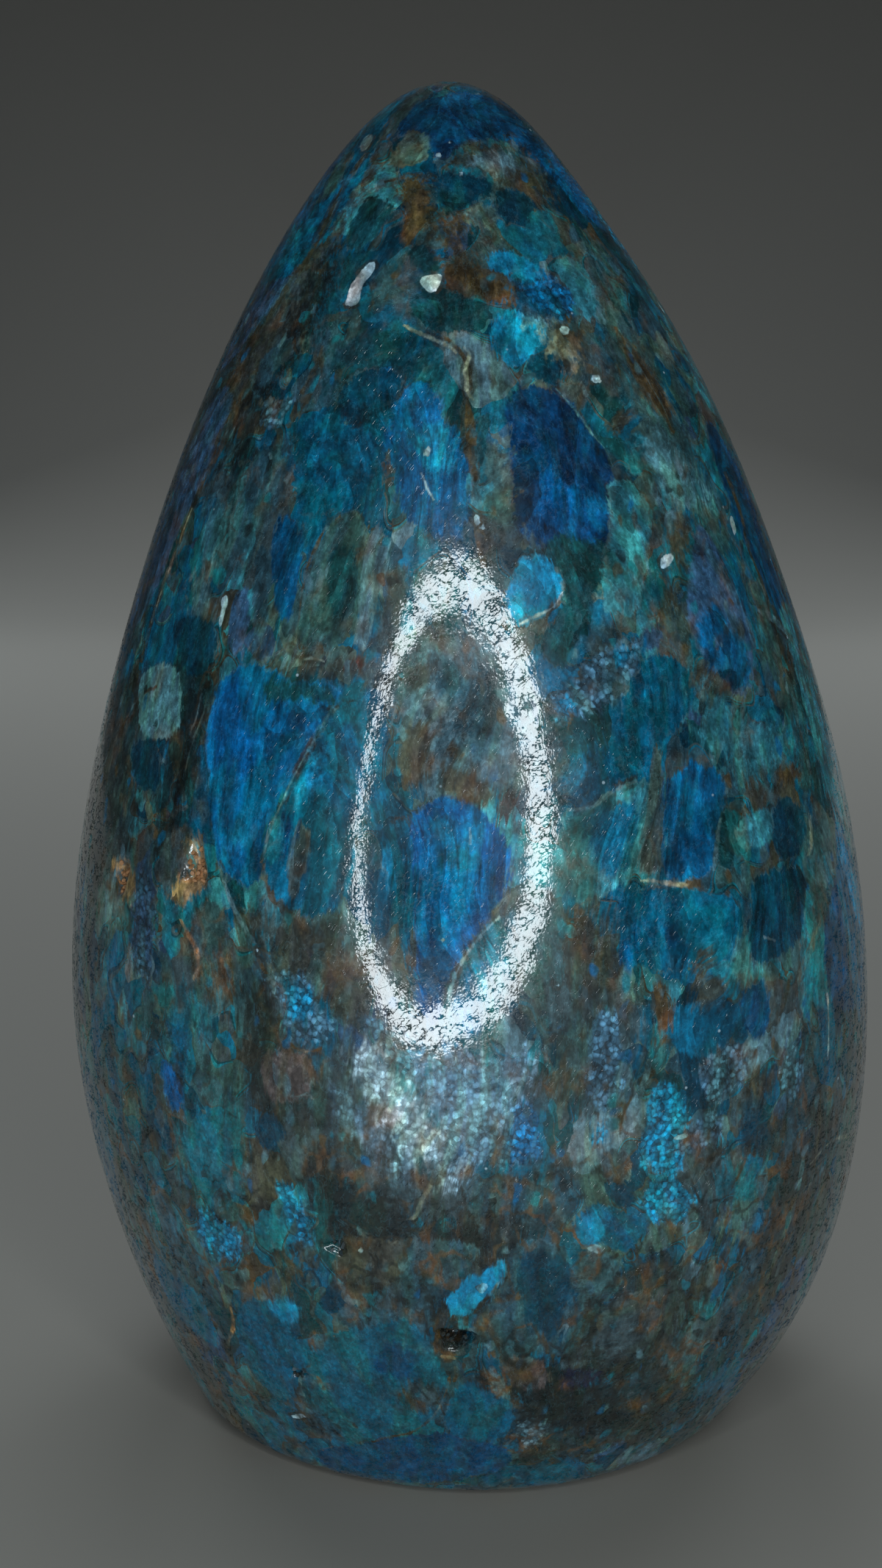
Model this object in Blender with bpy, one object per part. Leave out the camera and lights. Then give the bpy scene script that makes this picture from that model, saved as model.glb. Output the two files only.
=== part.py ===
"""A polished blue apatite freeform: an egg of stone that narrows to a blunt tip and stands on a flat spot.

Metres, +Z up. The front faces -Y, and the origin is the centre of the flat spot's bounding square, on the
surface that the stone stands on.
"""

import math

import bmesh
import bpy
import numpy as np
from mathutils import Vector

# Driving dimensions
HEIGHT = 0.150
DEPTH_TO_WIDTH = 0.82
BASE_EDGE_ROUND = 0.0025

# The outline: the half width of the stone, and how far its middle stands to the right, at each height.
OUTLINE_HEIGHTS = (0.150, 0.147, 0.138, 0.120, 0.096, 0.072, 0.048, 0.026, 0.009, 0.000)
HALF_WIDTHS = (0.0000, 0.0072, 0.0151, 0.0263, 0.0364, 0.0435, 0.0464, 0.0440, 0.0380, 0.0330)
MIDDLES = (0.0007, 0.0007, 0.0007, 0.0016, 0.0022, 0.0028, 0.0033, 0.0042, 0.0040, 0.0030)

# Hand polishing leaves the section a little off a true ellipse: waves round it, as a share of its radius.
# Each wave is (how many round the stone, height of the wave, phase in degrees, turn in degrees up the stone).
POLISHING_WAVES = (
    (2, 0.0060, 20.0, 90.0),
    (3, 0.0060, -65.0, 130.0),
    (4, 0.0070, 10.0, -60.0),
    (5, 0.0030, 75.0, 200.0),
    (7, 0.0018, 140.0, -260.0),
)

# Hollows that the polishing left open: bearing in degrees (-90 is the front), height, half width, half height
# and depth.
HOLLOWS = (
    (-93.8, 0.0241, 0.0021, 0.0014, 0.0019),
    (-118.4, 0.0164, 0.0013, 0.0009, 0.0007),
    (-128.9, 0.0710, 0.0016, 0.0030, 0.0008),
    (-144.9, 0.0683, 0.0014, 0.0022, 0.0007),
    (-108.4, 0.0338, 0.0014, 0.0010, 0.0006),
    (38.0, 0.0720, 0.0022, 0.0030, 0.0010),
    (112.0, 0.0300, 0.0026, 0.0018, 0.0012),
    (160.0, 0.0930, 0.0016, 0.0028, 0.0007),
)

# Mesh of the faceted solid
RINGS = 56
SEGMENTS = 68
HOLLOW_REACH = 1.7
HOLLOW_CUTS = 2

STONE_COLOUR = (0.030, 0.120, 0.165, 1.0)
STONE_ROUGHNESS = 0.16


def natural_spline(stations, values):
    """A smooth curve through the values, with a continuous second derivative."""
    x, y = np.array(stations), np.array(values)
    gap = np.diff(x)
    slope = np.diff(y) / gap
    system = np.eye(len(x))
    bend = np.zeros(len(x))
    for i in range(1, len(x) - 1):
        system[i, i - 1 : i + 2] = gap[i - 1], 2 * (gap[i - 1] + gap[i]), gap[i]
        bend[i] = 6 * (slope[i] - slope[i - 1])
    curve = np.linalg.solve(system, bend)

    def at(place):
        i = np.clip(np.searchsorted(x, place) - 1, 0, len(gap) - 1)
        a, b = x[i + 1] - place, place - x[i]
        bent = (curve[i] * a**3 + curve[i + 1] * b**3) / (6 * gap[i])
        return bent + (y[i] / gap[i] - curve[i] * gap[i] / 6) * a + (y[i + 1] / gap[i] - curve[i + 1] * gap[i] / 6) * b

    return at


def share_down(height):
    """0 at the tip and 1 at the base, in even steps along a round tip."""
    return np.sqrt(np.maximum(0, 1 - np.asarray(height) / HEIGHT))


STATIONS = share_down(OUTLINE_HEIGHTS)
half_width = natural_spline(STATIONS, HALF_WIDTHS)
middle = natural_spline(STATIONS, MIDDLES)


def edge_inset(height):
    """How far the rounded base edge draws the section in, close above the surface."""
    under = np.clip((BASE_EDGE_ROUND - height) / BASE_EDGE_ROUND, 0, 1)
    return BASE_EDGE_ROUND * (1 - np.sqrt(1 - under**2))


def surface_point(bearing, height):
    """The point of the stone's skin at a bearing in radians and a height."""
    down = share_down(height)
    wave = 1.0
    for count, size, phase, turn in POLISHING_WAVES:
        wave += size * math.cos(count * bearing + math.radians(phase + turn * down))
    reach = (half_width(down) - edge_inset(height)) * wave
    return Vector(
        (
            middle(down) + reach * math.cos(bearing),
            DEPTH_TO_WIDTH * reach * math.sin(bearing),
            height,
        )
    )


def ring_heights():
    """Heights of the rings from the base edge to just under the tip, close together on the rounded edge."""
    edge = [BASE_EDGE_ROUND * (1 - math.cos(angle)) for angle in np.linspace(0, math.pi / 2, 4)]
    body = [HEIGHT * (1 - down**2) for down in np.linspace(share_down(edge[-1]), 1 / RINGS, RINGS)]
    return edge + body[1:]


def build_skin(mesh):
    """Rings of the skin joined by quads, closed by the flat spot and by a fan at the tip."""
    bearings = np.linspace(0, 2 * math.pi, SEGMENTS, endpoint=False)
    rings = [[mesh.verts.new(surface_point(b, height)) for b in bearings] for height in ring_heights()]
    for lower, upper in zip(rings, rings[1:]):
        for i in range(SEGMENTS):
            j = (i + 1) % SEGMENTS
            mesh.faces.new((lower[i], lower[j], upper[j], upper[i]))
    mesh.faces.new(reversed(rings[0]))
    tip = mesh.verts.new((middle(0.0), 0.0, HEIGHT))
    for i in range(SEGMENTS):
        mesh.faces.new((rings[-1][i], rings[-1][(i + 1) % SEGMENTS], tip))


def press_hollow(mesh, bearing, height, half_across, half_up, depth):
    """Cuts the skin finer round one hollow and presses it in."""
    centre = surface_point(math.radians(bearing), height)
    outward = Vector((math.cos(math.radians(bearing)), math.sin(math.radians(bearing)), 0.0))
    across = Vector((-outward.y, outward.x, 0.0))

    def place(point):
        """Distance from the hollow's middle, 1 at its rim."""
        away = point - centre
        return math.hypot(away.dot(across) / half_across, away.z / half_up)

    near = [edge for edge in mesh.edges if min(place(v.co) for v in edge.verts) < HOLLOW_REACH]
    near = [edge for edge in near if min(v.co.z for v in edge.verts) > BASE_EDGE_ROUND]
    near = [edge for edge in near if (edge.verts[0].co - centre).length < 3 * HOLLOW_REACH * half_up + 0.002]
    bmesh.ops.subdivide_edges(mesh, edges=near, cuts=HOLLOW_CUTS, use_grid_fill=True)
    for vert in mesh.verts:
        share = place(vert.co)
        if share < 1 and (vert.co - centre).length < 0.02:
            vert.co -= outward * depth * math.sqrt(1 - share**2)


def centre_on_base(mesh):
    """Moves the stone so that the middle of its box stands over the origin."""
    xs = [vert.co.x for vert in mesh.verts]
    ys = [vert.co.y for vert in mesh.verts]
    shift = Vector(((min(xs) + max(xs)) / 2, (min(ys) + max(ys)) / 2, 0.0))
    bmesh.ops.translate(mesh, verts=mesh.verts, vec=-shift)


def stone_material():
    material = bpy.data.materials.new("blue_apatite")
    material.use_nodes = True
    shader = material.node_tree.nodes["Principled BSDF"]
    shader.inputs["Base Color"].default_value = STONE_COLOUR
    shader.inputs["Roughness"].default_value = STONE_ROUGHNESS
    shader.inputs["Metallic"].default_value = 0.0
    material.diffuse_color = STONE_COLOUR
    return material


def build_stone():
    mesh = bmesh.new()
    build_skin(mesh)
    for hollow in HOLLOWS:
        press_hollow(mesh, *hollow)
    centre_on_base(mesh)
    data = bpy.data.meshes.new("apatite_stone")
    mesh.to_mesh(data)
    mesh.free()
    data.shade_smooth()
    data.set_sharp_from_angle(angle=math.radians(40))
    data.materials.append(stone_material())
    stone = bpy.data.objects.new("apatite_stone", data)
    bpy.context.scene.collection.objects.link(stone)
    return stone


def main():
    for thing in list(bpy.data.objects):
        bpy.data.objects.remove(thing, do_unlink=True)
    build_stone()


main()
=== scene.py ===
"""The look of a polished blue apatite freeform, in metres, with its front towards -Y.

The stone's skin follows the same outline as its solid. Its crystals, stains and veins are bodies in the stone
that the polished skin cuts open, so each is drawn as the outline of its cut: a bearing round the stone in
degrees, with -90 at the front, and a height above the table in millimetres. Glints and a pale sheen of reflected
light are painted into the colour with outlines of the same kind.
"""

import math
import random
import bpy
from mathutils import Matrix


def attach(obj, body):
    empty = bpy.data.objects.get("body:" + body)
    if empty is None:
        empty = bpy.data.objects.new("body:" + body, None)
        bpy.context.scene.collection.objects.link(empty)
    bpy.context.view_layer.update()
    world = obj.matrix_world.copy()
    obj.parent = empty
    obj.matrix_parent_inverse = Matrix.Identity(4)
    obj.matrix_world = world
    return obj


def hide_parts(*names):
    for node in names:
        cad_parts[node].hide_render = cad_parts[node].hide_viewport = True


bl_info = {
    "name": "Apatite Freeform",
    "version": (1, 0, 0),
    "blender": (4, 5, 0),
    "location": "3D View > Sidebar > Apatite",
    "description": "Builds a polished apatite freeform and the stage it stands on",
    "category": "Object",
}

import bmesh
import bpy
import numpy as np
from mathutils import Matrix, Vector

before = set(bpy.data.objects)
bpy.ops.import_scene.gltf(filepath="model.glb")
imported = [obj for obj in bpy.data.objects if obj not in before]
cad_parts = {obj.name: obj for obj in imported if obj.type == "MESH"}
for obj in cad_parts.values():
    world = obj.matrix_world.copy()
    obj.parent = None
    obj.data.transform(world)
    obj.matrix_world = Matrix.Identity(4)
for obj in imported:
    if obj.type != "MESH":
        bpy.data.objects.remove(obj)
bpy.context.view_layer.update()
SOLID = "apatite_stone"
BODY = "root"

MM = 0.001

# The outline, as in the solid: half width, and how far the middle stands to the right, at each height.
HEIGHT = 0.150
DEPTH_TO_WIDTH = 0.82
BASE_EDGE_ROUND = 0.0025
OUTLINE_HEIGHTS = (0.150, 0.147, 0.138, 0.120, 0.096, 0.072, 0.048, 0.026, 0.009, 0.000)
HALF_WIDTHS = (0.0000, 0.0072, 0.0151, 0.0263, 0.0364, 0.0435, 0.0464, 0.0440, 0.0380, 0.0330)
MIDDLES = (0.0007, 0.0007, 0.0007, 0.0016, 0.0022, 0.0028, 0.0033, 0.0042, 0.0040, 0.0030)

# Waves that hand polishing leaves round the section: how many, height as a share of the radius, phase in
# degrees, and turn in degrees from the tip to the base.
POLISHING_WAVES = (
    (2, 0.0060, 20.0, 90.0),
    (3, 0.0060, -65.0, 130.0),
    (4, 0.0070, 10.0, -60.0),
    (5, 0.0030, 75.0, 200.0),
    (7, 0.0018, 140.0, -260.0),
)

# Hollows that the polishing left open: bearing in degrees (-90 is the front), height, half width, half height
# and depth.
HOLLOWS = (
    (-93.8, 0.0241, 0.0021, 0.0014, 0.0019),
    (-118.4, 0.0164, 0.0013, 0.0009, 0.0007),
    (-128.9, 0.0710, 0.0016, 0.0030, 0.0008),
    (-144.9, 0.0683, 0.0014, 0.0022, 0.0007),
    (-108.4, 0.0338, 0.0014, 0.0010, 0.0006),
    (38.0, 0.0720, 0.0022, 0.0030, 0.0010),
    (112.0, 0.0300, 0.0026, 0.0018, 0.0012),
    (160.0, 0.0930, 0.0016, 0.0028, 0.0007),
)

# Where the polish is scuffed: bearing and height, and how far that reaches, in millimetres.
SCUFF_PLACE = (-94.0, 0.0395)
SCUFF_REACH = (8.0, 8.0, 9.0)

# Colours of the cut stone, as the light that each gives back. The palest of them and cyan also colour painted glints
# and a painted sheen of reflected light.
TINTS = {
    "navy": (0.0002, 0.027, 0.076),
    "deep": (0.0003, 0.052, 0.122),
    "cobalt": (0.0003, 0.068, 0.190),
    "blue": (0.0003, 0.088, 0.204),
    "bright": (0.0004, 0.115, 0.262),
    "azure": (0.004, 0.200, 0.360),
    "sea": (0.0006, 0.080, 0.145),
    "teal": (0.0005, 0.036, 0.064),
    "pine": (0.004, 0.044, 0.056),
    "lagoon": (0.008, 0.125, 0.165),
    "mint": (0.035, 0.180, 0.225),
    "pale": (0.120, 0.270, 0.310),
    "sage": (0.075, 0.130, 0.122),
    "moss": (0.038, 0.086, 0.090),
    "slate": (0.028, 0.068, 0.090),
    "dusk": (0.030, 0.070, 0.130),
    "mist": (0.095, 0.160, 0.190),
    "powder": (0.065, 0.140, 0.210),
    "stone": (0.046, 0.064, 0.070),
    "umber": (0.056, 0.046, 0.034),
    "ochre": (0.060, 0.048, 0.028),
    "loam": (0.018, 0.019, 0.014),
    "rust": (0.085, 0.046, 0.019),
    "wine": (0.045, 0.016, 0.014),
    "orange": (0.340, 0.170, 0.075),
    "cream": (0.300, 0.270, 0.200),
    "pink": (0.090, 0.060, 0.055),
    "violet": (0.015, 0.016, 0.040),
    "ink": (0.008, 0.010, 0.010),
    "lobe": (0.004, 0.090, 0.145),
    # a pale colour for the painted sheen
    "frost": (0.190, 0.310, 0.430),
    "haze": (0.085, 0.098, 0.112),
    "cyan": (0.250, 0.600, 0.800),
    "ice": (0.460, 0.540, 0.600),
}

# Where the ring light is widest, and where it reaches down, as angles from its right.
RING_WIDEST = math.radians(-10.0)
RING_POINT = math.radians(261.0)
RING_BROAD = 0.91
RING_TALL = 0.92
RING_LEAN = 0.18
RING_LEFT = 0.15
RING_DOWN = 0.10

# The most cuts that show on one face of the skin.
MOST_LAYERS = 7

# The crystals that fill the stone between those that are drawn, and the share that each tint takes of them.
ROCK_MIX = (
    ("sea", 13),
    ("teal", 11),
    ("slate", 14),
    ("lobe", 10),
    ("stone", 9),
    ("pine", 8),
    ("lagoon", 8),
    ("moss", 9),
    ("umber", 4),
    ("mint", 6),
    ("sage", 5),
    ("mist", 4),
    ("dusk", 3),
)

# The small flecks of other minerals, with the share that each tint takes of them.
FLECK_MIX = (
    ("stone", 20),
    ("umber", 18),
    ("mist", 12),
    ("ink", 14),
    ("rust", 7),
    ("lagoon", 10),
    ("blue", 8),
    ("slate", 11),
)

# How each kind of cut looks: softness of its edge and how far that edge wanders, in millimetres, how strongly
# fibres and sugary grains show in it, and how much of what lies under it it covers.
KINDS = {
    "cloud": (1.20, 2.2, 0.50, 0.25, 0.80),
    "core": (0.55, 0.9, 0.90, 0.15, 0.95),
    "pane": (0.22, 0.55, 0.90, 0.05, 1.00),
    "grain": (0.24, 0.55, 0.45, 0.25, 0.95),
    "sugar": (0.45, 1.0, 0.10, 1.00, 0.92),
    # painted sheen: a pale veil of reflected light painted into the colour
    "scuff": (1.50, 1.8, 0.30, 0.70, 0.75),
    "vein": (0.12, 0.16, 0.30, 0.40, 0.95),
    # small bright marks: pale chips and painted glints
    "chip": (0.06, 0.1, 0.10, 0.30, 1.00),
}

GROUND = (
    ("umber",
     "-170.5 143, -133 142, -115.5 140, -123 138, -127 134.5, -127.5 131.5, -126 127, -127 123, -135 "
     "121, -140 117, -143 112.5, -147 109, -157 111, -153 122.5, -150.5 129.5, -159 138.5"),
    ("pine",
     "-132 131.5, -119.5 131, -113.5 129, -117.5 125, -122 122.5, -124 119.5, -130 121, -129.5 125.5"),
    ("slate",
     "-147 109, -134.5 111, -126 112.5, -121.5 109.5, -125 105, -127 102.5, -130 98, -136 99.5, -142.5 "
     "102"),
    ("moss",
     "-33.5 135, -41 127, -39 122, -38.5 115.5, -36 109.5, -33.5 103, -41 101, -45 106, -48.5 111, -53 "
     "115, -53.5 121, -52.5 125.5, -49 130.5"),
    ("moss",
     "-34.5 102, -28.5 97.5, -29 90, -29 81.5, -29 74.5, -33 63.5, -39.5 64.5, -34.5 76.5, -34 82.5, -36 "
     "89, -36 94"),
    ("mist",
     "-98 95, -89 95, -83 93, -80 88.5, -80 82.5, -82.5 79.5, -90 79, -97.5 79, -99.5 85, -99.5 90.5"),
    ("umber",
     "-116 69, -112.5 68.5, -105.5 66.5, -103 64.5, -101.5 61, -103.5 57, -106.5 57, -109.5 60, -112.5 "
     "61.5, -115 62, -117.5 64, -119.5 66.5, -118.5 68"),
    ("stone",
     "-79.5 62.5, -72 61, -67.5 59.5, -67 56.5, -70.5 54, -72.5 49.5, -76.5 48.5, -79 50, -81 54.5, -81 "
     "59"),
    ("stone",
     "-109 56, -105.5 57, -103 54.5, -98.5 50, -97 45.5, -92.5 42.5, -91 38, -98.5 38, -103.5 38, -108 "
     "45, -110 49.5"),
    ("slate", "-91 42.5, -83.5 43.5, -78.5 45.5, -76.5 40.5, -79.5 37.5, -85.5 35.5, -91 38"),
    ("loam", "-85.5 18.5, -77 18, -64.5 20, -54 15, -50.5 7, -63 7, -76 6, -83.5 6, -86 13"),
    ("loam", "-78 26.5, -70.5 32, -63 32.5, -58.5 26.5, -61.5 23.5, -63.5 18, -73 17.5, -77.5 21"),
    ("mist", "-164.5 81, -156 85, -148.5 82.5, -146.5 75, -144.5 67.5, -146 59.5, -151 66.5, -156 74"),
    ("loam",
     "-62 40.5, -57.5 32.5, -59 28.5, -54.5 31, -48.5 29.5, -48.5 21.5, -55 17, -49 14.5, -43.5 19, -40 "
     "25.5, -35.5 35, -35 43.5, -43.5 44, -47 36, -54.5 31"),
    ("ink",
     "-112.5 45, -106 44, -105 41, -100 39, -94.5 38.5, -91 38.5, -85.5 40, -84 35, -87 32, -91.5 33, "
     "-96 35, -102.5 34, -107.5 34, -109.5 37.5, -112 40.5"),
    ("ink", "-98.5 34.5, -95 33, -93 27, -94.5 22, -97.5 26, -100 30"),
    ("ink", "-86 22.5, -79.5 21, -71 15, -63 10.5, -72 9, -82 13, -86.5 18.5"),
    ("ink",
     "-142 109.5, -141 115.5, -139 122, -134.5 127, -132 131.5, -124.5 129, -127 123, -132 118, -133.5 "
     "112.5, -135.5 107.5"),
    ("ink",
     "-143.5 90.5, -137 92, -130 91, -129 85, -131.5 79.5, -133.5 74, -134 69, -138 71.5, -139 78.5, "
     "-140 84.5"),
    ("loam", "-119.5 61, -112.5 58, -108 54, -110.5 49.5, -115 44, -119 48, -120.5 54"),
)

CRYSTALS = (
    ("pane", "deep",
     "-119 142.5, -120.5 145, -112.5 147, -89.5 148, -55 148, -32 147, -31.5 145, -32.5 142.5, -34 140, "
     "-42.5 139.5, -47 141, -53.5 142.5, -67 142.5, -84 142, -89 140.5, -96.5 140.5, -99 142, -111 143"),
    ("pane", "sage",
     "-114.5 143, -110 143.5, -101.5 143, -98.5 142, -98.5 140.5, -102 140, -110 139.5, -116.5 140, "
     "-116.5 141.5"),
    ("cloud", "ochre",
     "-89 140.5, -84 142, -68 142.5, -54 142, -47.5 141, -44.5 139, -43 137.5, -48 136, -54.5 136.5, -60 "
     "137, -67.5 137.5, -72.5 138.5, -81 139, -88 139"),
    ("grain", "teal",
     "-97 137.5, -95 138.5, -88 139, -81 139, -75 138.5, -72.5 137.5, -74.5 136.5, -80 136, -85.5 135, "
     "-89.5 134.5, -92.5 135, -95 136"),
    ("grain", "sage", "-88 134, -83 135, -77 135.5, -73 135, -74.5 134, -79 133, -83.5 133.5"),
    ("grain", "teal",
     "-73 137, -67.5 137.5, -61 137, -55 136, -59 135, -64.5 135, -67.5 134, -72 133.5, -74 134.5, -73.5 "
     "136"),
    ("grain", "lagoon",
     "-66 133.5, -61.5 135, -55.5 135.5, -52 135, -53.5 133.5, -54.5 131.5, -57.5 130.5, -61.5 130.5, "
     "-64 131, -67 132"),
    ("pane", "pine",
     "-124.5 131.5, -124 134, -123.5 136, -120 137, -113 136.5, -108 135.5, -108 134, -111.5 133.5, -113 "
     "132, -117.5 131.5, -121 131"),
    ("cloud", "ochre",
     "-108.5 138, -104.5 139, -98.5 139, -97 137.5, -95 136, -92.5 134.5, -90.5 132.5, -93 130.5, -96 "
     "130.5, -98.5 132, -102 134, -106 134.5, -108.5 136.5"),
    ("grain", "pine",
     "-103.5 130.5, -102 131.5, -98.5 132, -95 130.5, -93 129.5, -93.5 128.5, -98 128.5, -102 129.5"),
    ("cloud", "rust",
     "-92.5 134, -88 134.5, -84 132.5, -85 130.5, -82.5 129, -78 127.5, -74.5 126.5, -77 126, -81.5 "
     "126.5, -84 127, -88 129, -91 129.5, -93 130.5, -92.5 132.5"),
    ("grain", "azure",
     "-81.5 130, -79.5 130.5, -74 131, -68.5 130.5, -65 129.5, -64 128.5, -67 127.5, -72 128, -75.5 "
     "128.5, -80.5 129"),
    ("sugar", "bright",
     "-74 128, -68 127.5, -63.5 129, -62.5 128, -57.5 128, -57 126.5, -61.5 124, -65.5 124, -69 125, -71 "
     "126.5, -73.5 127"),
    ("grain", "mint",
     "-61 129.5, -56 131, -49 130.5, -49.5 129, -50 127, -53 124.5, -56.5 124, -58.5 125.5, -58 127, -61 "
     "128"),
    ("pane", "pine",
     "-92 127, -86 126.5, -84 124.5, -85 123, -90 122.5, -97 123, -100 124.5, -101.5 126, -98 127"),
    ("cloud", "slate",
     "-111.5 129, -104.5 130, -99 128.5, -99.5 126.5, -103 125.5, -109 126, -111.5 127.5"),
    ("pane", "azure",
     "-81.5 123.5, -79.5 124.5, -75.5 125, -73.5 124.5, -68.5 124, -68 122.5, -70.5 121.5, -74.5 120, "
     "-77 119.5, -80 120, -82 121.5"),
    ("pane", "teal",
     "-77 119.5, -71.5 121, -68 121.5, -67 120, -67 118.5, -68.5 117.5, -71.5 117.5, -74.5 118.5"),
    ("cloud", "cream", "-70 123.5, -67.5 123, -63.5 122, -61.5 121, -63 120, -66.5 120.5, -69 122"),
    ("grain", "stone", "-68.5 118.5, -63 118, -63 116, -67 115, -69.5 116"),
    ("cloud", "pine",
     "-118 121, -114 122.5, -103.5 122.5, -95 121.5, -91 120, -93.5 118, -99.5 118, -103.5 116, -108 "
     "115, -114.5 113, -117.5 115, -116.5 118"),
    ("pane", "teal",
     "-115.5 116, -114 118, -109 119.5, -103 119.5, -100.5 117.5, -103 115.5, -108 114, -110.5 113"),
    ("pane", "sea",
     "-110.5 113, -103.5 115, -103 112.5, -103.5 109, -103.5 105.5, -106 105, -108.5 106, -111 105.5, "
     "-113.5 105.5, -117 105.5, -120 106, -122.5 109.5, -123.5 112.5, -119.5 115, -115.5 116, -113.5 115"),
    ("pane", "blue",
     "-100.5 117.5, -98 118, -94 117, -93 115, -90.5 113, -88 109.5, -88.5 105.5, -90.5 102.5, -93.5 "
     "103, -96.5 104, -100 105.5, -101.5 108, -103.5 111, -103.5 113.5, -103 115.5"),
    ("grain", "slate", "-141 118.5, -141 120.5, -137.5 122.5, -133 123, -130 121, -133 119.5, -136 117.5"),
    ("grain", "moss",
     "-114.5 102.5, -113 104.5, -110.5 105.5, -108 105.5, -106 104.5, -105.5 101.5, -106 98, -106 95, "
     "-108 93, -111 92.5, -115.5 93, -117 95, -116 97.5, -115.5 100"),
    ("pane", "mist",
     "-106 104, -103.5 104.5, -101.5 102.5, -102 99.5, -103.5 96.5, -104.5 93, -106 92.5, -106 96, -106 "
     "99.5"),
    ("grain", "stone", "-101 101.5, -98.5 100.5, -99 96.5, -100 93, -103 92.5, -102.5 96.5"),
    ("pane", "deep",
     "-124 105, -121 105.5, -118 104, -116.5 100, -117 96.5, -118.5 95, -121 97, -123.5 101"),
    ("pane", "slate", "-127 102.5, -124 102, -122 98.5, -122 95, -122.5 92.5, -125 96"),
    ("cloud", "mist", "-140 99.5, -137 100.5, -135 98, -134.5 95, -137 94.5, -140 96.5"),
    ("pane", "dusk", "-130.5 97.5, -127.5 98.5, -125.5 95.5, -125.5 92, -126.5 91, -128.5 93"),
    ("grain", "teal",
     "-143 93, -143 94.5, -139.5 95, -136 95, -133 94.5, -131 92.5, -132 90, -135.5 89, -139 90"),
    ("cloud", "umber",
     "-123.5 91.5, -116 92, -111 92, -104 91.5, -97.5 92, -93.5 91.5, -94 90, -99 90, -104 90, -107.5 "
     "89.5, -113 90, -118 90, -122 90.5"),
    ("pane", "blue",
     "-126.5 90.5, -123 91.5, -120 90.5, -115.5 89.5, -109.5 90, -107 89, -108.5 87.5, -110 86, -112 "
     "83.5, -114.5 80, -117 76.5, -118 72, -119 69.5, -121.5 70, -124.5 71, -127 75.5, -129 79.5, -130.5 "
     "84, -130 87.5, -128.5 89.5"),
    ("pane", "sea",
     "-110 86, -108 87.5, -104 89, -101.5 89, -102 85, -103.5 79.5, -104.5 74, -106 69, -108.5 67.5, "
     "-112.5 68, -116 69.5, -118 72, -117 76.5, -114.5 80, -112 83.5"),
    ("grain", "pale",
     "-151 88, -148 89.5, -141.5 90.5, -138.5 89, -136.5 86, -136.5 83.5, -141 82.5, -146.5 82.5, -149.5 "
     "86"),
    ("pane", "navy",
     "-80 116, -79 117.5, -74.5 117.5, -70 117.5, -66 115, -64 113, -61.5 111.5, -61.5 109, -63.5 105.5, "
     "-65.5 102.5, -70.5 102, -76 102.5, -81 102.5, -82 105.5, -81.5 109.5, -81 113"),
    ("pane", "pine",
     "-74 104, -66 103, -66.5 101, -68 98.5, -71 95, -73.5 93, -76 90.5, -78 91.5, -79.5 94, -77.5 95, "
     "-75 96.5, -74 98.5, -75 100.5, -76.5 102.5"),
    ("cloud", "sage", "-85 112.5, -81.5 111.5, -81.5 108, -82.5 105.5, -85.5 105, -86.5 106, -86 109.5"),
    ("pane", "pine", "-86.5 115, -84 115, -85 112.5, -86.5 109.5, -87 109.5, -87 112.5"),
    ("cloud", "stone", "-85 105, -81 104.5, -79 103, -81.5 102.5, -84 103, -85.5 104"),
    ("pane", "azure",
     "-82 100.5, -80 101.5, -77 101.5, -75.5 100.5, -74 99.5, -74.5 98, -77 96.5, -80.5 95.5, -82.5 95, "
     "-83.5 96, -83 98.5"),
    ("grain", "lagoon", "-57 112.5, -54 113.5, -51.5 113, -50.5 111.5, -53 109.5, -57 109, -58.5 110.5"),
    ("cloud", "pale",
     "-49.5 113, -46.5 112, -45 109.5, -40.5 108, -40.5 106.5, -45 105.5, -48 106, -50 107.5, -52 109.5, "
     "-52 111.5"),
    ("pane", "mint",
     "-63 108, -59 109, -55.5 107.5, -55.5 105, -57.5 102.5, -59.5 99, -63 95.5, -66 96, -68.5 96, -67.5 "
     "99, -65 102.5, -63.5 105.5"),
    ("cloud", "ochre",
     "-50 105, -47 105.5, -45 104.5, -48.5 102.5, -49.5 100, -52 98, -54 95.5, -56 95, -58 96, -56 98.5, "
     "-52.5 100, -52 102.5, -53 104"),
    ("pane", "dusk",
     "-45 104.5, -42 103, -40.5 100, -38.5 97, -37.5 93.5, -39 90.5, -43 87.5, -46.5 87, -48.5 89, -50.5 "
     "91, -53 92, -53.5 94.5, -52 98, -48.5 101"),
    ("sugar", "powder",
     "-78 88.5, -76.5 89, -73.5 90, -71.5 91.5, -69.5 92.5, -67 93, -63 94, -63 92.5, -64 91, -66.5 "
     "89.5, -68.5 88, -72 87, -74 86.5, -76 86, -78 86.5"),
    ("grain", "dusk", "-63 94, -59 95, -58 94, -60.5 92.5, -63 92.5"),
    ("pane", "sea",
     "-64 91, -61 92, -58 92, -55 91, -54 89, -55.5 87, -58 85, -60.5 84.5, -62.5 84, -64.5 82, -66.5 "
     "80.5, -69 81, -68.5 84.5, -67.5 88"),
    ("cloud", "umber", "-54 90.5, -52 90.5, -48.5 89, -50.5 87.5, -53.5 88, -54 89"),
    ("cloud", "mint",
     "-55.5 87, -50 87.5, -46 86, -37 84.5, -35.5 82, -39.5 80, -47.5 79.5, -53.5 81, -55.5 83.5, -55.5 "
     "85.5"),
    ("cloud", "sea", "-78.5 79.5, -77.5 82.5, -73.5 83.5, -68.5 84, -66.5 80.5, -71 79.5, -75.5 78"),
    ("pane", "mint",
     "-78 77.5, -74.5 78, -71 79.5, -67.5 80.5, -65 80.5, -64.5 79, -67 75.5, -68.5 73, -70 71, -72.5 "
     "70, -75.5 68.5, -77.5 70, -79 72.5"),
    ("pane", "stone",
     "-64.5 82.5, -62.5 84, -62.5 81.5, -64 77.5, -64 73.5, -65.5 71.5, -68 71, -68.5 73, -66.5 76.5"),
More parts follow.
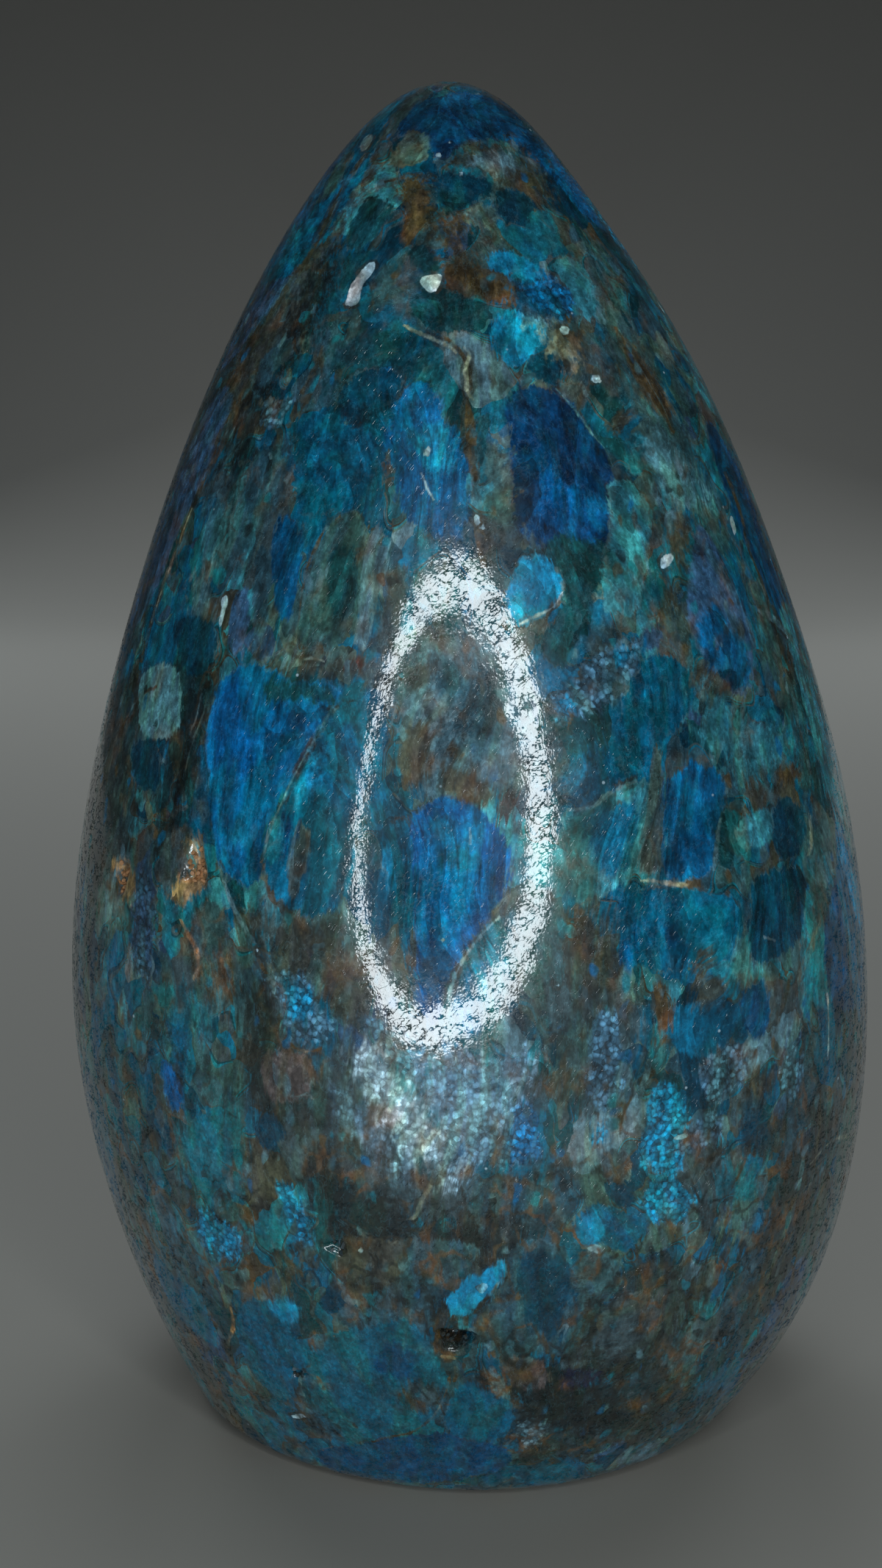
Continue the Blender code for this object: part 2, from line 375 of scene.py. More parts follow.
    ("pane", "blue",
     "-63 79.5, -60.5 81, -57 82, -53.5 80.5, -52.5 78, -55 75, -57.5 70.5, -62 70.5, -64.5 71, -64 75.5"),
    ("pane", "pine", "-55 77, -51.5 77, -51 74.5, -52.5 71.5, -55.5 70.5, -56.5 72"),
    ("grain", "mint", "-52 75.5, -45.5 76.5, -43.5 75, -45.5 72.5, -50 72.5, -52.5 73.5"),
    ("grain", "teal", "-43.5 77, -39 77, -35.5 75, -37.5 71.5, -43 70.5, -45.5 72.5"),
    ("grain", "teal", "-149.5 81.5, -145.5 82.5, -141 82.5, -139 80.5, -138.5 77.5, -142 77, -146 77.5"),
    ("grain", "stone",
     "-134 74, -131 75, -130 73.5, -130 71.5, -130.5 69.5, -132.5 68, -135 67.5, -136 70, -136 72.5"),
    ("grain", "slate",
     "-128.5 67, -125 68, -122.5 66.5, -122 64.5, -123.5 62.5, -124.5 61.5, -126 61.5, -127 63, -129 65"),
    ("cloud", "rust", "-124.5 61.5, -122.5 63, -121.5 60.5, -122 58, -123.5 57, -125 58, -126 59, -127 61"),
    ("sugar", "dusk",
     "-140.5 69.5, -137.5 70, -136 66.5, -135.5 62, -135.5 58, -138 57, -139.5 60.5, -140.5 65"),
    ("cloud", "lagoon",
     "-133 58, -127.5 58.5, -125 57, -124.5 55, -126.5 53.5, -129 54.5, -132 55, -134 56.5"),
    ("cloud", "pine", "-139.5 54, -135.5 54.5, -130.5 53.5, -128.5 52, -130.5 51, -134 52, -138 52.5"),
    ("sugar", "powder",
     "-115.5 61, -114 62, -111 61.5, -108.5 60, -108 58.5, -105.5 58, -107 56, -110 55, -112.5 55, "
     "-114.5 56.5, -113.5 59"),
    ("grain", "pink",
     "-116.5 54, -113.5 54.5, -110 54, -109.5 51.5, -111 49.5, -114 48.5, -116.5 49.5, -117 51.5"),
    ("cloud", "lagoon",
     "-130 45.5, -123.5 47.5, -120 47.5, -119.5 43.5, -121 39.5, -126.5 36, -132 36.5, -132.5 40.5"),
    ("grain", "teal", "-118 47.5, -115.5 47.5, -113.5 46, -115 44, -117.5 43, -119 45"),
    ("cloud", "ink", "-113 41.5, -109 41.5, -107 40.5, -106.5 38, -109.5 38.5, -112.5 39.5"),
    ("sugar", "azure",
     "-116 39.5, -114 40.5, -112.5 38.5, -111.5 36, -112 33.5, -113.5 33.5, -114 36, -115.5 37.5"),
    ("sugar", "azure", "-130 34, -125.5 34.5, -122.5 33.5, -123 31, -125.5 29.5, -128.5 29, -131 30.5"),
    ("grain", "umber",
     "-107 35.5, -102 35.5, -99 35.5, -99 32, -102 30, -105 28.5, -108 29, -109.5 31, -108.5 33.5"),
    ("grain", "slate",
     "-98.5 35.5, -94.5 36, -91 35.5, -89.5 34.5, -91.5 33, -94.5 31, -97.5 27, -100 28.5, -100 32"),
    ("pane", "sea",
     "-144 27, -141.5 25, -138 24, -134 24, -133 20, -133 16.5, -137 16, -142.5 17, -146 19.5, -146.5 23"),
    ("cloud", "slate", "-139 28.5, -133 29, -127.5 29, -127.5 26, -132 25.5, -137 25, -140 26"),
    ("cloud", "ochre",
     "-126 25.5, -122 27, -119 28.5, -115 31.5, -112.5 33, -111.5 32, -115.5 28.5, -118 27, -124 24.5, "
     "-126.5 24"),
    ("grain", "sea",
     "-125.5 24, -121 26, -116.5 24.5, -116 22.5, -117.5 19.5, -119 16, -121.5 11.5, -125 11.5, -127.5 "
     "14, -128 17, -127.5 21.5"),
    ("grain", "lobe",
     "-115.5 19, -112.5 22, -108.5 24.5, -105.5 25.5, -102.5 26.5, -99 26, -97 23, -95.5 20.5, -94.5 "
     "17.5, -96 14, -99.5 11, -104.5 9.5, -110 7.5, -115 7.5, -117 10, -119 13, -117.5 16.5"),
    ("grain", "slate", "-111 24.5, -108 27.5, -104 27.5, -100.5 26.5, -103.5 25.5, -108 24"),
    ("cloud", "slate", "-120 15, -117 14.5, -115 11.5, -113.5 8.5, -117 7, -120.5 9, -121.5 11.5"),
    ("pane", "deep",
     "-119 5.5, -111 7, -106 9, -99.5 10.5, -95 11, -89 10, -84 8, -84.5 5, -95.5 2.5, -110 1, -118 1"),
    ("pane", "sea",
     "-94.5 16.5, -93.5 18.5, -91 19, -88 17.5, -85.5 14.5, -86 11, -89 9.5, -94 10.5, -96 13"),
    ("pane", "cobalt",
     "-98 77.5, -96 78.5, -93.5 79.5, -90.5 79.5, -87.5 78, -85.5 76, -84.5 74.5, -85 71.5, -86.5 69, "
     "-89.5 66.5, -91.5 64, -93 61, -94 58, -96.5 58.5, -97 62, -97 66, -98.5 71.5"),
    ("pane", "lagoon",
     "-94 57.5, -93.5 60, -92.5 62, -91 64.5, -89 67, -85.5 69, -84.5 69, -85 65.5, -85.5 62, -87 59, "
     "-88 57, -89.5 55, -92 56"),
    ("sugar", "powder",
     "-97 57.5, -94 57, -89.5 55, -88 53.5, -92 51.5, -97.5 51.5, -101 54.5, -102.5 57, -104.5 59"),
    ("sugar", "powder",
     "-94 51.5, -86 51.5, -84 50.5, -82.5 48.5, -83 45.5, -84 44, -87.5 43.5, -90.5 44.5, -94.5 45.5"),
    ("cloud", "umber", "-86 52, -83.5 54, -80 53.5, -79.5 51.5, -81 50, -83.5 50.5, -85.5 51"),
    ("pane", "sea",
     "-71 70.5, -65 70.5, -58.5 69.5, -54 68.5, -52 67, -53.5 63, -57 61.5, -61 62, -62.5 62.5, -64 "
     "61.5, -67 62, -69 63, -71 62.5, -71.5 65.5"),
    ("pane", "teal",
     "-50.5 70.5, -45 70.5, -38.5 69.5, -40 65, -43 62, -47 61.5, -52 61, -53 63, -52 67.5"),
    ("pane", "deep", "-54 59.5, -50 60, -49 58.5, -50 54.5, -52 53.5, -54.5 55, -55 57.5"),
    ("pane", "sea",
     "-66 58.5, -61 58.5, -55 58.5, -54.5 55, -52.5 54, -57 53, -61.5 53, -64.5 54, -66 56.5"),
    ("cloud", "ochre", "-62 62, -59 62.5, -57 60.5, -55 59.5, -57 58.5, -60.5 59, -62 60"),
    ("cloud", "umber",
     "-79 68, -76.5 68, -74.5 69.5, -72 69.5, -72 67, -72 63.5, -72.5 61.5, -76 62, -78.5 63, -79.5 65.5"),
    ("sugar", "powder", "-76 59, -74 59.5, -72.5 58, -72 54, -72.5 49.5, -75 49, -76.5 51.5, -76.5 56"),
    ("sugar", "powder", "-61 52.5, -57.5 53.5, -54 53.5, -53.5 51, -54.5 49, -58.5 48, -61 48.5, -62 51"),
    ("sugar", "powder", "-48 52, -45.5 53, -43 51.5, -43 48.5, -43.5 46.5, -47 46.5, -49 49.5"),
    ("cloud", "rust", "-53.5 51, -49.5 51, -49 48, -51 47, -54 48"),
    ("sugar", "azure",
     "-67.5 50.5, -65 51, -63.5 48.5, -62.5 46.5, -64 44, -64.5 41, -68.5 41.5, -70 44, -69.5 47, -68.5 "
     "49.5"),
    ("sugar", "powder", "-61.5 47, -58.5 47, -58 45, -60.5 43.5, -63 43, -64 45"),
    ("sugar", "azure", "-70 40, -67 41.5, -63.5 40, -62 38, -62.5 36, -65.5 35.5, -68.5 36.5, -70 38.5"),
    ("cloud", "teal", "-56 47, -51 47, -48 44, -48.5 40.5, -54.5 42.5, -56 44.5"),
    ("cloud", "lagoon", "-59.5 41, -54.5 41.5, -50.5 39.5, -51.5 35.5, -56.5 36.5, -60 38.5"),
    ("cloud", "sage", "-57.5 36.5, -51.5 36, -51 32.5, -54.5 31.5, -57.5 34"),
    ("grain", "sea",
     "-78.5 37.5, -76.5 39.5, -72.5 38.5, -69 36.5, -70 33.5, -72.5 33.5, -75.5 35, -77.5 35, -79 36.5"),
    ("grain", "teal", "-74.5 42, -71 41, -70 38.5, -72 38, -74 40"),
    ("grain", "stone", "-75.5 44.5, -72 45, -70.5 42.5, -72 41, -74.5 42"),
    ("grain", "slate",
     "-86.5 35.5, -80.5 36, -78.5 33.5, -77.5 29, -77 24, -79 21, -84 23, -87 21.5, -89 21.5, -90.5 "
     "23.5, -91.5 26, -88 30.5"),
    ("grain", "pink", "-88 21.5, -82 21.5, -80.5 18, -83.5 17, -86.5 18.5"),
    ("grain", "stone", "-75 25.5, -72 28.5, -68 29, -65.5 26, -65.5 22, -69 20, -73.5 20.5, -75.5 23"),
    ("grain", "moss", "-78.5 34.5, -72.5 33.5, -71.5 30.5, -74 27, -76.5 26.5, -77.5 30"),
    ("pane", "moss", "-63 19, -63 21.5, -60.5 23, -57.5 22.5, -57 19.5, -56.5 15.5, -57.5 13.5, -61 15.5"),
    ("cloud", "pine", "-57.5 17.5, -52 18, -50 16, -54 12.5"),
    ("pane", "dusk", "-38 26, -34 24, -35 17.5, -35 13, -42.5 12.5, -46 15, -43.5 19, -42 24"),
    ("pane", "azure",
     "-94 29.5, -91.5 31.5, -88.5 33.5, -87 34, -86.5 32, -88.5 29.5, -91.5 27.5, -94 27, -94.5 28.5"),
)

INSIDES = (
    ("core", "navy",
     "-99.5 146, -83 146, -82 143.5, -63 144, -64.5 143, -84 142.5, -89 140.5, -97 141, -96.5 143.5"),
    ("core", "blue", "-97 148, -57.5 148, -34 146.5, -36 144.5, -48 145, -72 146.5, -95.5 147"),
    ("core", "pine", "-97 137.5, -92.5 137, -87 137, -85.5 135.5, -90 134.5, -93 135, -96 136.5"),
    ("core", "mist", "-81 140.5, -72 141.5, -58.5 141.5, -57.5 140, -65.5 138.5, -74.5 139, -80.5 139.5"),
    ("core", "pale", "-75 124.5, -70.5 124.5, -69 123.5, -72 123, -75 123.5"),
    ("core", "cobalt", "-129 88.5, -123.5 90, -121.5 87.5, -121 83.5, -121 80, -126 80.5, -129 84"),
    ("core", "pine", "-121.5 89.5, -109.5 90, -108 89, -110 87, -112.5 88, -117.5 87.5, -120.5 88"),
    ("core", "azure", "-113 81, -111.5 83.5, -110.5 80.5, -112.5 78.5, -114 78"),
    ("pane", "stone", "-113.5 76.5, -111 76, -110.5 74, -112 70.5, -113 68.5, -114 72"),
    ("pane", "lagoon", "-117 76.5, -115 77, -114.5 74, -115.5 72.5, -118 72, -117.5 75"),
    ("core", "navy", "-115 77, -113.5 77, -113.5 74.5, -114 72.5, -115 75"),
    ("core", "pine", "-112.5 100.5, -110.5 102.5, -108 102.5, -106.5 100, -107 96.5, -110 95, -112 96.5"),
    ("core", "navy", "-80.5 116, -78 117.5, -76.5 116, -74 114.5, -75.5 112.5, -79 113, -81 114.5"),
    ("core", "cobalt",
     "-76.5 109.5, -72.5 109, -65 106.5, -65 104.5, -69 103, -72.5 104, -77 104.5, -79 106"),
    ("core", "azure", "-97.5 113, -93.5 114.5, -90.5 112.5, -91 109.5, -94.5 109.5, -97 111"),
    ("core", "deep", "-50.5 92.5, -45 93.5, -40.5 92.5, -40.5 90.5, -44 87.5, -46.5 88, -49 90, -51 91"),
    ("core", "blue", "-52 94.5, -47 96.5, -44 96, -45 93.5, -51 92, -52 92.5"),
    ("sugar", "azure", "-77.5 88, -75.5 88.5, -74 87.5, -76 86, -77.5 86.5"),
    ("sugar", "azure", "-67.5 93, -64.5 93, -65 91.5, -67.5 91.5"),
    ("core", "sea", "-74.5 77.5, -69 78.5, -67 78, -69 73.5, -70.5 71.5, -73.5 72, -75 74.5"),
    ("core", "deep", "-63 79.5, -61 80.5, -60 77.5, -61 71.5, -63.5 71, -64 74"),
    ("core", "bright",
     "-96 77.5, -91 78, -87 76.5, -87 75, -90 74.5, -88 72, -88.5 69, -92 65.5, -96 65.5, -96.5 71.5"),
    ("core", "sea", "-94 75, -89 74.5, -88 72.5, -93.5 73"),
    ("pane", "sea",
     "-101 75.5, -99 77.5, -97.5 77, -97 73, -97 68, -97 62.5, -97 59.5, -98.5 64.5, -99.5 69.5, -101 72"),
    ("core", "bright", "-96.5 69.5, -95.5 69.5, -94.5 68, -95.5 65.5, -96.5 65"),
    ("core", "azure", "-92.5 59, -91.5 62.5, -89.5 64.5, -87.5 62.5, -88.5 59, -90 57"),
    ("core", "blue", "-71 70, -68.5 69.5, -69 64, -71 63, -71.5 66"),
    ("core", "deep", "-65 69.5, -61.5 69.5, -63 64, -65.5 64.5"),
    ("core", "mint", "-54.5 64.5, -52 64, -52.5 61.5, -50 60.5, -54 59, -56 60.5"),
    ("sugar", "azure", "-114 61, -110.5 60.5, -109.5 59.5, -110 58, -112.5 57, -113.5 58.5"),
    ("pane", "cobalt", "-134 50.5, -132 51, -130 49, -129 47.5, -130 45.5, -132.5 45, -133.5 47.5"),
    ("sugar", "bright", "-86 50.5, -84 50.5, -82.5 48.5, -83 45.5, -84.5 44, -86.5 45"),
    ("core", "azure", "-78.5 37.5, -76.5 39, -74.5 37, -75 35, -77.5 35"),
    ("sugar", "azure", "-76.5 47.5, -73.5 48, -73 46.5, -75 45, -76.5 45.5"),
    ("core", "teal", "-85.5 34.5, -80 34.5, -79 31, -79 26, -79.5 23, -82 24, -84 26, -86 30.5"),
    ("core", "deep", "-103.5 22.5, -101 23, -99.5 21, -100 18.5, -103.5 18.5, -106 19, -105 21"),
    ("core", "azure", "-120.5 25.5, -116 26.5, -115 24.5, -118 23, -120.5 24"),
    ("core", "stone", "-101 18.5, -96 18, -95.5 15, -99 13.5, -101.5 15"),
    ("core", "violet", "-79 19.5, -76.5 20, -74 19, -73.5 17, -76 17, -78.5 17.5"),
    ("core", "ink", "-95.5 24.5, -92.5 25.5, -92 24, -94 22, -96.5 22.5"),
    ("core", "ink", "-91.5 19.5, -89.5 20, -89 17.5, -91 17"),
    ("grain", "mist", "-90 20.5, -88.5 21, -87.5 18.5, -86.5 16.5, -88 16.5, -89 18.5"),
    ("sugar", "mist", "-85 12.5, -81 13, -79 10.5, -80.5 9, -84 9.5"),
    ("sugar", "powder",
     "-134 115, -134.5 116.5, -132 117, -126 116.5, -126.5 116, -128 115, -128 113.5, -132 113.5"),
    ("core", "mist", "-120.5 137.5, -119.5 138.5, -115.5 138.5, -113 138, -115.5 137.5, -118 137"),
    ("core", "wine", "-107.5 91.5, -106 92, -105 91.5, -106 90.5, -107 90.5"),
    ("core", "rust", "-93 84, -91.5 84, -90.5 83, -91.5 82.5, -92.5 83"),
    ("core", "wine", "-86.5 79.5, -84.5 80.5, -82.5 79.5, -83 78, -84.5 76.5, -85.5 77, -87 78"),
    ("core", "umber", "-93.5 82.5, -90 82, -86.5 80.5, -86 77.5, -89 78.5, -92.5 79.5, -94 81"),
    ("core", "umber", "-99 86.5, -95.5 86.5, -94.5 85, -95 81, -97.5 79.5, -99.5 81, -99.5 84.5"),
    ("core", "slate", "-93.5 92, -89.5 93, -86 92, -84.5 87.5, -84.5 84.5, -88.5 84.5, -92.5 86, -93.5 89"),
    ("core", "rust", "-67.5 61.5, -65.5 60.5, -65 58, -66 56.5, -67.5 58, -67.5 60.5"),
    ("core", "rust", "-41 80, -35 80, -36 78, -41.5 78"),
    ("core", "ink", "-140 41.5, -137 42.5, -137 41.5, -140 40"),
    ("core", "orange",
     "-130.5 73.5, -129.5 74, -128.5 73, -128 71, -127 69.5, -127.5 68.5, -129.5 67.5, -131.5 67, -133.5 "
     "67, -132 69, -130 70, -129.5 72, -130.5 73"),
    ("core", "orange",
     "-148.5 69.5, -145.5 69.5, -142.5 69, -141 68.5, -141.5 67, -142 66, -144 66.5, -144 68, -147 68.5"),
    ("core", "pink", "-90.5 129, -89 128.5, -86.5 127.5, -84.5 126.5, -85.5 126.5, -88 127, -90.5 128"),
    ("core", "umber", "-60 114, -54.5 115.5, -52 115, -56 114, -59 112.5"),
    ("core", "rust", "-109.5 139, -99 138.5, -96.5 135.5, -99 132.5, -103.5 131, -107 133, -105.5 135.5"),
    ("core", "rust",
     "-92.5 129, -88 129.5, -82 128, -74.5 127, -74 126, -80.5 126, -85.5 126.5, -90 127.5"),
    ("core", "rust",
     "-48.5 123, -45 122.5, -43.5 119.5, -40 117, -40 114.5, -45.5 115, -47.5 117.5, -49.5 120"),
    ("cloud", "rust", "-65 123, -61 123, -59 121.5, -62.5 120, -65 121"),
    # Painted sheen: pale patches painted into the colour where the ring light's reflection spreads over the worn polish
    # below the ring.
    ("scuff", "frost", "-106.5 51.5, -103 50, -99 45.5, -96 42.5, -98 42, -102 45, -106 48"),
    ("scuff", "frost",
     "-97.5 54.5, -90.5 54, -84.5 56, -83 53, -87 48, -91.5 43.5, -94 42.5, -95 45.5, -96.5 50.5"),
    ("scuff", "ice",
     "-104.5 55, -102 55.5, -97.5 51.5, -93 45.5, -93.5 42.5, -95 42, -98 44.5, -101 48.5, -103.5 51.5"),
)

VEINS = (
    ("umber", 1.7, "-121.5 122, -121.5 118.5, -124.5 115.5, -126 113.5"),
    ("umber", 0.9, "-147 115.5, -147 109.5, -148.5 106, -150 101.5, -151 97.5, -152 93.5, -152 89.5"),
    ("cream", 0.3, "-148.5 106, -150 101.5, -151 97.5, -152 93.5"),
    ("ink", 1.0, "-131.5 91, -132 88, -132 85.5, -133.5 83, -134 80, -134 76.5, -135 73.5"),
    ("rust", 0.3, "-110 105.5, -113 104.5, -114.5 102.5, -115.5 101, -116 98.5, -116 95, -116 92.5"),
    ("ink", 0.3, "-121 91.5, -118 92.5, -116.5 93, -115.5 92, -112.5 93, -110 92.5"),
    ("cream", 0.2, "-115 91.5, -113 92, -110.5 91.5"),
    ("pale", 0.2, "-108.5 88, -110 86, -112 83.5, -114.5 80, -116.5 76.5, -118 72"),
    ("rust", 1.0, "-88.5 116.5, -88 112.5, -87.5 109, -87.5 105.5, -87 102.5, -86.5 100"),
    ("rust", 0.6, "-93.5 122.5, -90.5 121.5, -88 120, -87.5 118, -88.5 116"),
    ("umber", 0.6, "-116 138, -108.5 138.5, -102.5 138.5"),
    ("cream", 0.4, "-89 121.5, -87 120.5, -88.5 119.5, -88.5 117, -87 116"),
    ("cream", 0.4, "-102.5 123.5, -97.5 122.5, -92 121.5, -89.5 120.5"),
    ("pale", 0.1, "-70 117.5, -66 115, -64 113, -61.5 111.5, -61 109.5"),
    ("ice", 0.1, "-74 98.5, -76.5 96.5, -79.5 96, -82.5 95"),
    ("rust", 1.3, "-48.5 124, -48 121.5, -46.5 119, -44 115.5, -42.5 113"),
    ("pine", 0.9, "-42.5 135.5, -44 131, -44.5 127, -42.5 123.5"),
    ("umber", 0.6, "-28 109.5, -27 105, -30 102, -28.5 97.5, -29.5 93, -30 87.5, -31.5 82.5, -31 78"),
    ("mist", 0.3, "-77.5 78, -74 78, -71 79.5, -66.5 80.5"),
    ("cream", 0.4, "-69 71, -66.5 71, -64.5 70.5, -60.5 70"),
    ("mist", 0.5, "-54 76.5, -55.5 74.5, -57 70.5"),
    ("cream", 0.7, "-34.5 75, -35 72, -38 70"),
    ("ice", 0.1, "-50 64, -48.5 63.5, -46.5 63"),
    ("ice", 0.1, "-90 77, -90 76, -90 75"),
    ("ice", 0.2, "-97 109.5, -96 108, -94.5 106.5"),
    ("ice", 0.2, "-85.5 69, -88.5 67, -91 64.5, -92.5 62, -93.5 57.5"),
    ("umber", 0.6, "-89.5 67, -87.5 68.5, -85 70.5"),
    ("ochre", 1.0, "-65.5 56, -66.5 54, -70 51, -72 49.5, -73 46.5"),
    ("mist", 0.7, "-68 54, -69.5 50.5, -71.5 48, -72 46"),
    ("umber", 1.0, "-56 44, -59.5 42.5, -61.5 40.5, -63 39.5"),
    ("orange", 0.5, "-131 66, -129.5 64.5, -128 63.5, -127 62.5, -127 60.5, -128 59.5"),
    ("mist", 0.4, "-125 72, -122.5 68.5, -120.5 66.5, -117.5 64"),
    ("rust", 0.6, "-118 63.5, -117 62.5, -115.5 61"),
    ("rust", 0.3, "-113.5 55.5, -112 54.5, -109.5 54.5, -107.5 55.5"),
    ("rust", 0.3, "-114.5 50, -112.5 49.5, -110 50.5, -109.5 49.5"),
    ("ink", 0.7, "-108 37.5, -106.5 36, -104 35.5, -101 36.5, -98.5 36, -96.5 37"),
    ("cream", 0.5, "-95 44, -95.5 42, -97 40, -97.5 38.5, -99 37.5"),
    ("orange", 0.4, "-128 23.5, -128 21, -132 16.5"),
    ("mint", 0.7, "-115 17, -114 14, -112 11.5, -110 9.5"),
    ("rust", 0.3, "-94.5 19.5, -95.5 16.5, -97 13.5, -100.5 10.5, -104.5 9.5, -108 8"),
    ("rust", 0.3, "-87 32, -89.5 29, -91.5 27"),
    ("rust", 0.4, "-94 21, -93.5 19.5, -94.5 18"),
    ("ice", 0.3, "-36 56, -36 52, -36.5 48.5"),
    ("lagoon", 1.4, "-38.5 58.5, -41.5 55.5, -44 53"),
    ("umber", 0.9, "-44.5 59.5, -47 56.5, -50 53"),
    ("sage", 1.1, "-35.5 64, -39.5 61.5, -44 58"),
    ("ochre", 0.7, "-38.5 46, -38.5 39.5, -40 32.5, -44 28.5, -48 24"),
    ("sage", 0.8, "-42 40, -43 33.5, -46 27"),
    ("ink", 0.2, "-93 45, -94 42.5"),
    ("ochre", 0.8, "-133 142, -136.5 138.5, -136.5 134, -139 128"),
)

# Small bright marks: some are pale chips in the stone, and the rest are painted glints, spots of reflected light
# painted into the colour.
CHIPS_AND_GLINTS = (
    ("ice",
     "-118 126, -118 125.5, -115 125.5, -114 126, -114.5 127.5, -112 128.5, -111 129.5, -113 130, -115.5 "
     "129, -117 128, -118 127.5"),
    ("ice", "-88 105.5, -87 105.5, -86.5 104.5, -86 104, -87 104, -88 104.5"),
    ("ice", "-61 118.5, -59.5 119, -57.5 118.5, -58.5 118, -61 118"),
    ("ice", "-56 101, -54 101.5, -52.5 101.5, -52.5 101, -55 100, -56 100"),
    ("ice", "-132.5 97, -131.5 97.5, -130.5 97, -131 95.5, -131 94, -132 94.5, -132 96"),
    ("ice", "-95 67, -93.5 66.5, -93 66, -94 66"),
    ("ice", "-106 34, -104.5 34.5, -105 33.5, -105.5 33"),
    ("cream", "-96 22, -94.5 22, -93.5 21.5, -94.5 21.5, -96 21.5"),
    ("cyan", "-91 31, -89 31, -89.5 30, -90.5 29.5"),
    ("cyan", "-65.5 45.5, -63 45.5, -63 45, -65.5 45"),
    ("mist", "-130.5 49.5, -129.5 48.5, -129 47.5, -130 47.5"),
    ("ice", "-122.5 9.5, -119 10.5, -118.5 10, -122 9"),
    ("ice", "-65.5 123.5, -63 123.5, -62.5 123, -65 122.5"),
    ("pale", "-77 34.5, -75 35, -74.5 33.5, -76.5 34"),
    ("ice", "-99 128, -95.5 128.5, -92.5 128.5, -93.5 127.5, -95 126.5, -97.5 127"),
    ("ice", "-97 111.5, -95.5 112, -95.5 111, -96.5 110.5"),
    ("ice", "-33.5 105, -31.5 105, -32.5 103, -34 103"),
    ("mist", "-146 143, -142 144, -133.5 143, -136 141.5"),
    ("ice", "-80.5 62, -79.5 62, -79.5 61.5, -80 61.5"),
    ("ice", "-72.5 68, -72 68.5, -72 68"),
    ("ice", "-118 64, -117.5 64, -117.5 63.5, -118 63.5"),
    ("ice", "-112 40.5, -111.5 40.5, -111.5 40, -112 40"),
    ("ice", "-111.5 23, -110.5 23, -111 22.5"),
    ("ice", "-85.5 43, -85 42.5, -85.5 42, -85.5 42.5"),
    ("ice", "-90 142.5, -88 142.5, -87.5 142, -89.5 142"),
    ("ice", "-95.5 141, -92.5 141, -92.5 140.5, -95 140.5"),
    ("ice", "-85.5 139, -84 139, -84 138.5, -85.5 138.5"),
)


def natural_spline(places, values):
    """A smooth curve through the values, straight at both ends, as a function of the place."""
    x = np.array(places, float)
    y = np.array(values, float)
    if x[0] > x[-1]:
        x, y = x[::-1], y[::-1]
    step = np.diff(x)
    slope = np.diff(y) / step
    system = np.eye(len(x))
    bend = np.zeros(len(x))
    for i in range(1, len(x) - 1):
        system[i, i - 1 : i + 2] = step[i - 1], 2 * (step[i - 1] + step[i]), step[i]
        bend[i] = 6 * (slope[i] - slope[i - 1])
    bend = np.linalg.solve(system, bend)

    def curve(place):
        place = np.asarray(place, float)
        i = np.clip(np.searchsorted(x, place) - 1, 0, len(step) - 1)
        past, left = place - x[i], x[i + 1] - place
        ends = (bend[i] * left**3 + bend[i + 1] * past**3) / (6 * step[i])
        start = (y[i] / step[i] - bend[i] * step[i] / 6) * left
        finish = (y[i + 1] / step[i] - bend[i + 1] * step[i] / 6) * past
        return ends + start + finish

    return curve


def share_down(height):
    """0 at the tip and 1 at the table, opened out near the tip so that the tip is round."""
    return np.sqrt(np.clip(1 - np.asarray(height, float) / HEIGHT, 0, 1))


half_width_at = natural_spline(share_down(OUTLINE_HEIGHTS), HALF_WIDTHS)
middle_at = natural_spline(share_down(OUTLINE_HEIGHTS), MIDDLES)


def edge_inset(height):
    """How far the rounded edge of the base draws the skin in."""
    below = np.clip((BASE_EDGE_ROUND - height) / BASE_EDGE_ROUND, 0, 1)
    return BASE_EDGE_ROUND * (1 - np.sqrt(1 - below**2))


def surface_point(bearing, height):
    """Points of the polished skin, before the box is centred."""
    down = share_down(height)
    wave = 1.0
    for count, size, phase, turn in POLISHING_WAVES:
        wave = wave + size * np.cos(count * bearing + np.radians(phase + turn * down))
    reach = (half_width_at(down) - edge_inset(height)) * wave
    across = middle_at(down) + reach * np.cos(bearing)
    return np.stack([across, DEPTH_TO_WIDTH * reach * np.sin(bearing), height + 0 * across], axis=-1)


def box_middle():
    """The middle of the skin's box, which stands over the origin."""
    heights = HEIGHT * (1 - np.linspace(0.01, 1, 300) ** 2)
    bearings = np.radians(np.arange(0, 360, 0.5))
    points = surface_point(bearings[None, :], heights[:, None])
    low, high = points.min(axis=(0, 1)), points.max(axis=(0, 1))
    return np.array([(low[0] + high[0]) / 2, (low[1] + high[1]) / 2, 0.0])


CENTRE = box_middle()


def skin_at(bearing_degrees, height):
    """The point of the skin at a bearing and height, and the way out of the stone there."""
    bearing = math.radians(bearing_degrees)
    here = surface_point(bearing, height)
    round_it = surface_point(bearing + 0.01, height) - surface_point(bearing - 0.01, height)
    up_it = surface_point(bearing, height + 0.0002) - surface_point(bearing, height - 0.0002)
    out = Vector(np.cross(round_it, up_it)).normalized()
    return Vector(here - CENTRE), out


def bearing_and_height(points):
    """The bearing in degrees and the height in metres of points on or near the skin."""
    height = np.clip(points[:, 2], 0, HEIGHT)
    across = points[:, 0] + CENTRE[0] - middle_at(share_down(height))
    deep = (points[:, 1] + CENTRE[1]) / DEPTH_TO_WIDTH
    return np.degrees(np.arctan2(deep, across)), height


def way_down():
    """Heights, and the length of skin from the tip down to each, in millimetres."""
    heights = HEIGHT * (1 - np.linspace(0, 1, 400) ** 2)
    run = np.hypot(np.diff(half_width_at(share_down(heights))), np.diff(heights))
    return heights[::-1], np.concatenate([[0], np.cumsum(run)])[::-1] / MM


DOWN_HEIGHTS, DOWN_LENGTHS = way_down()


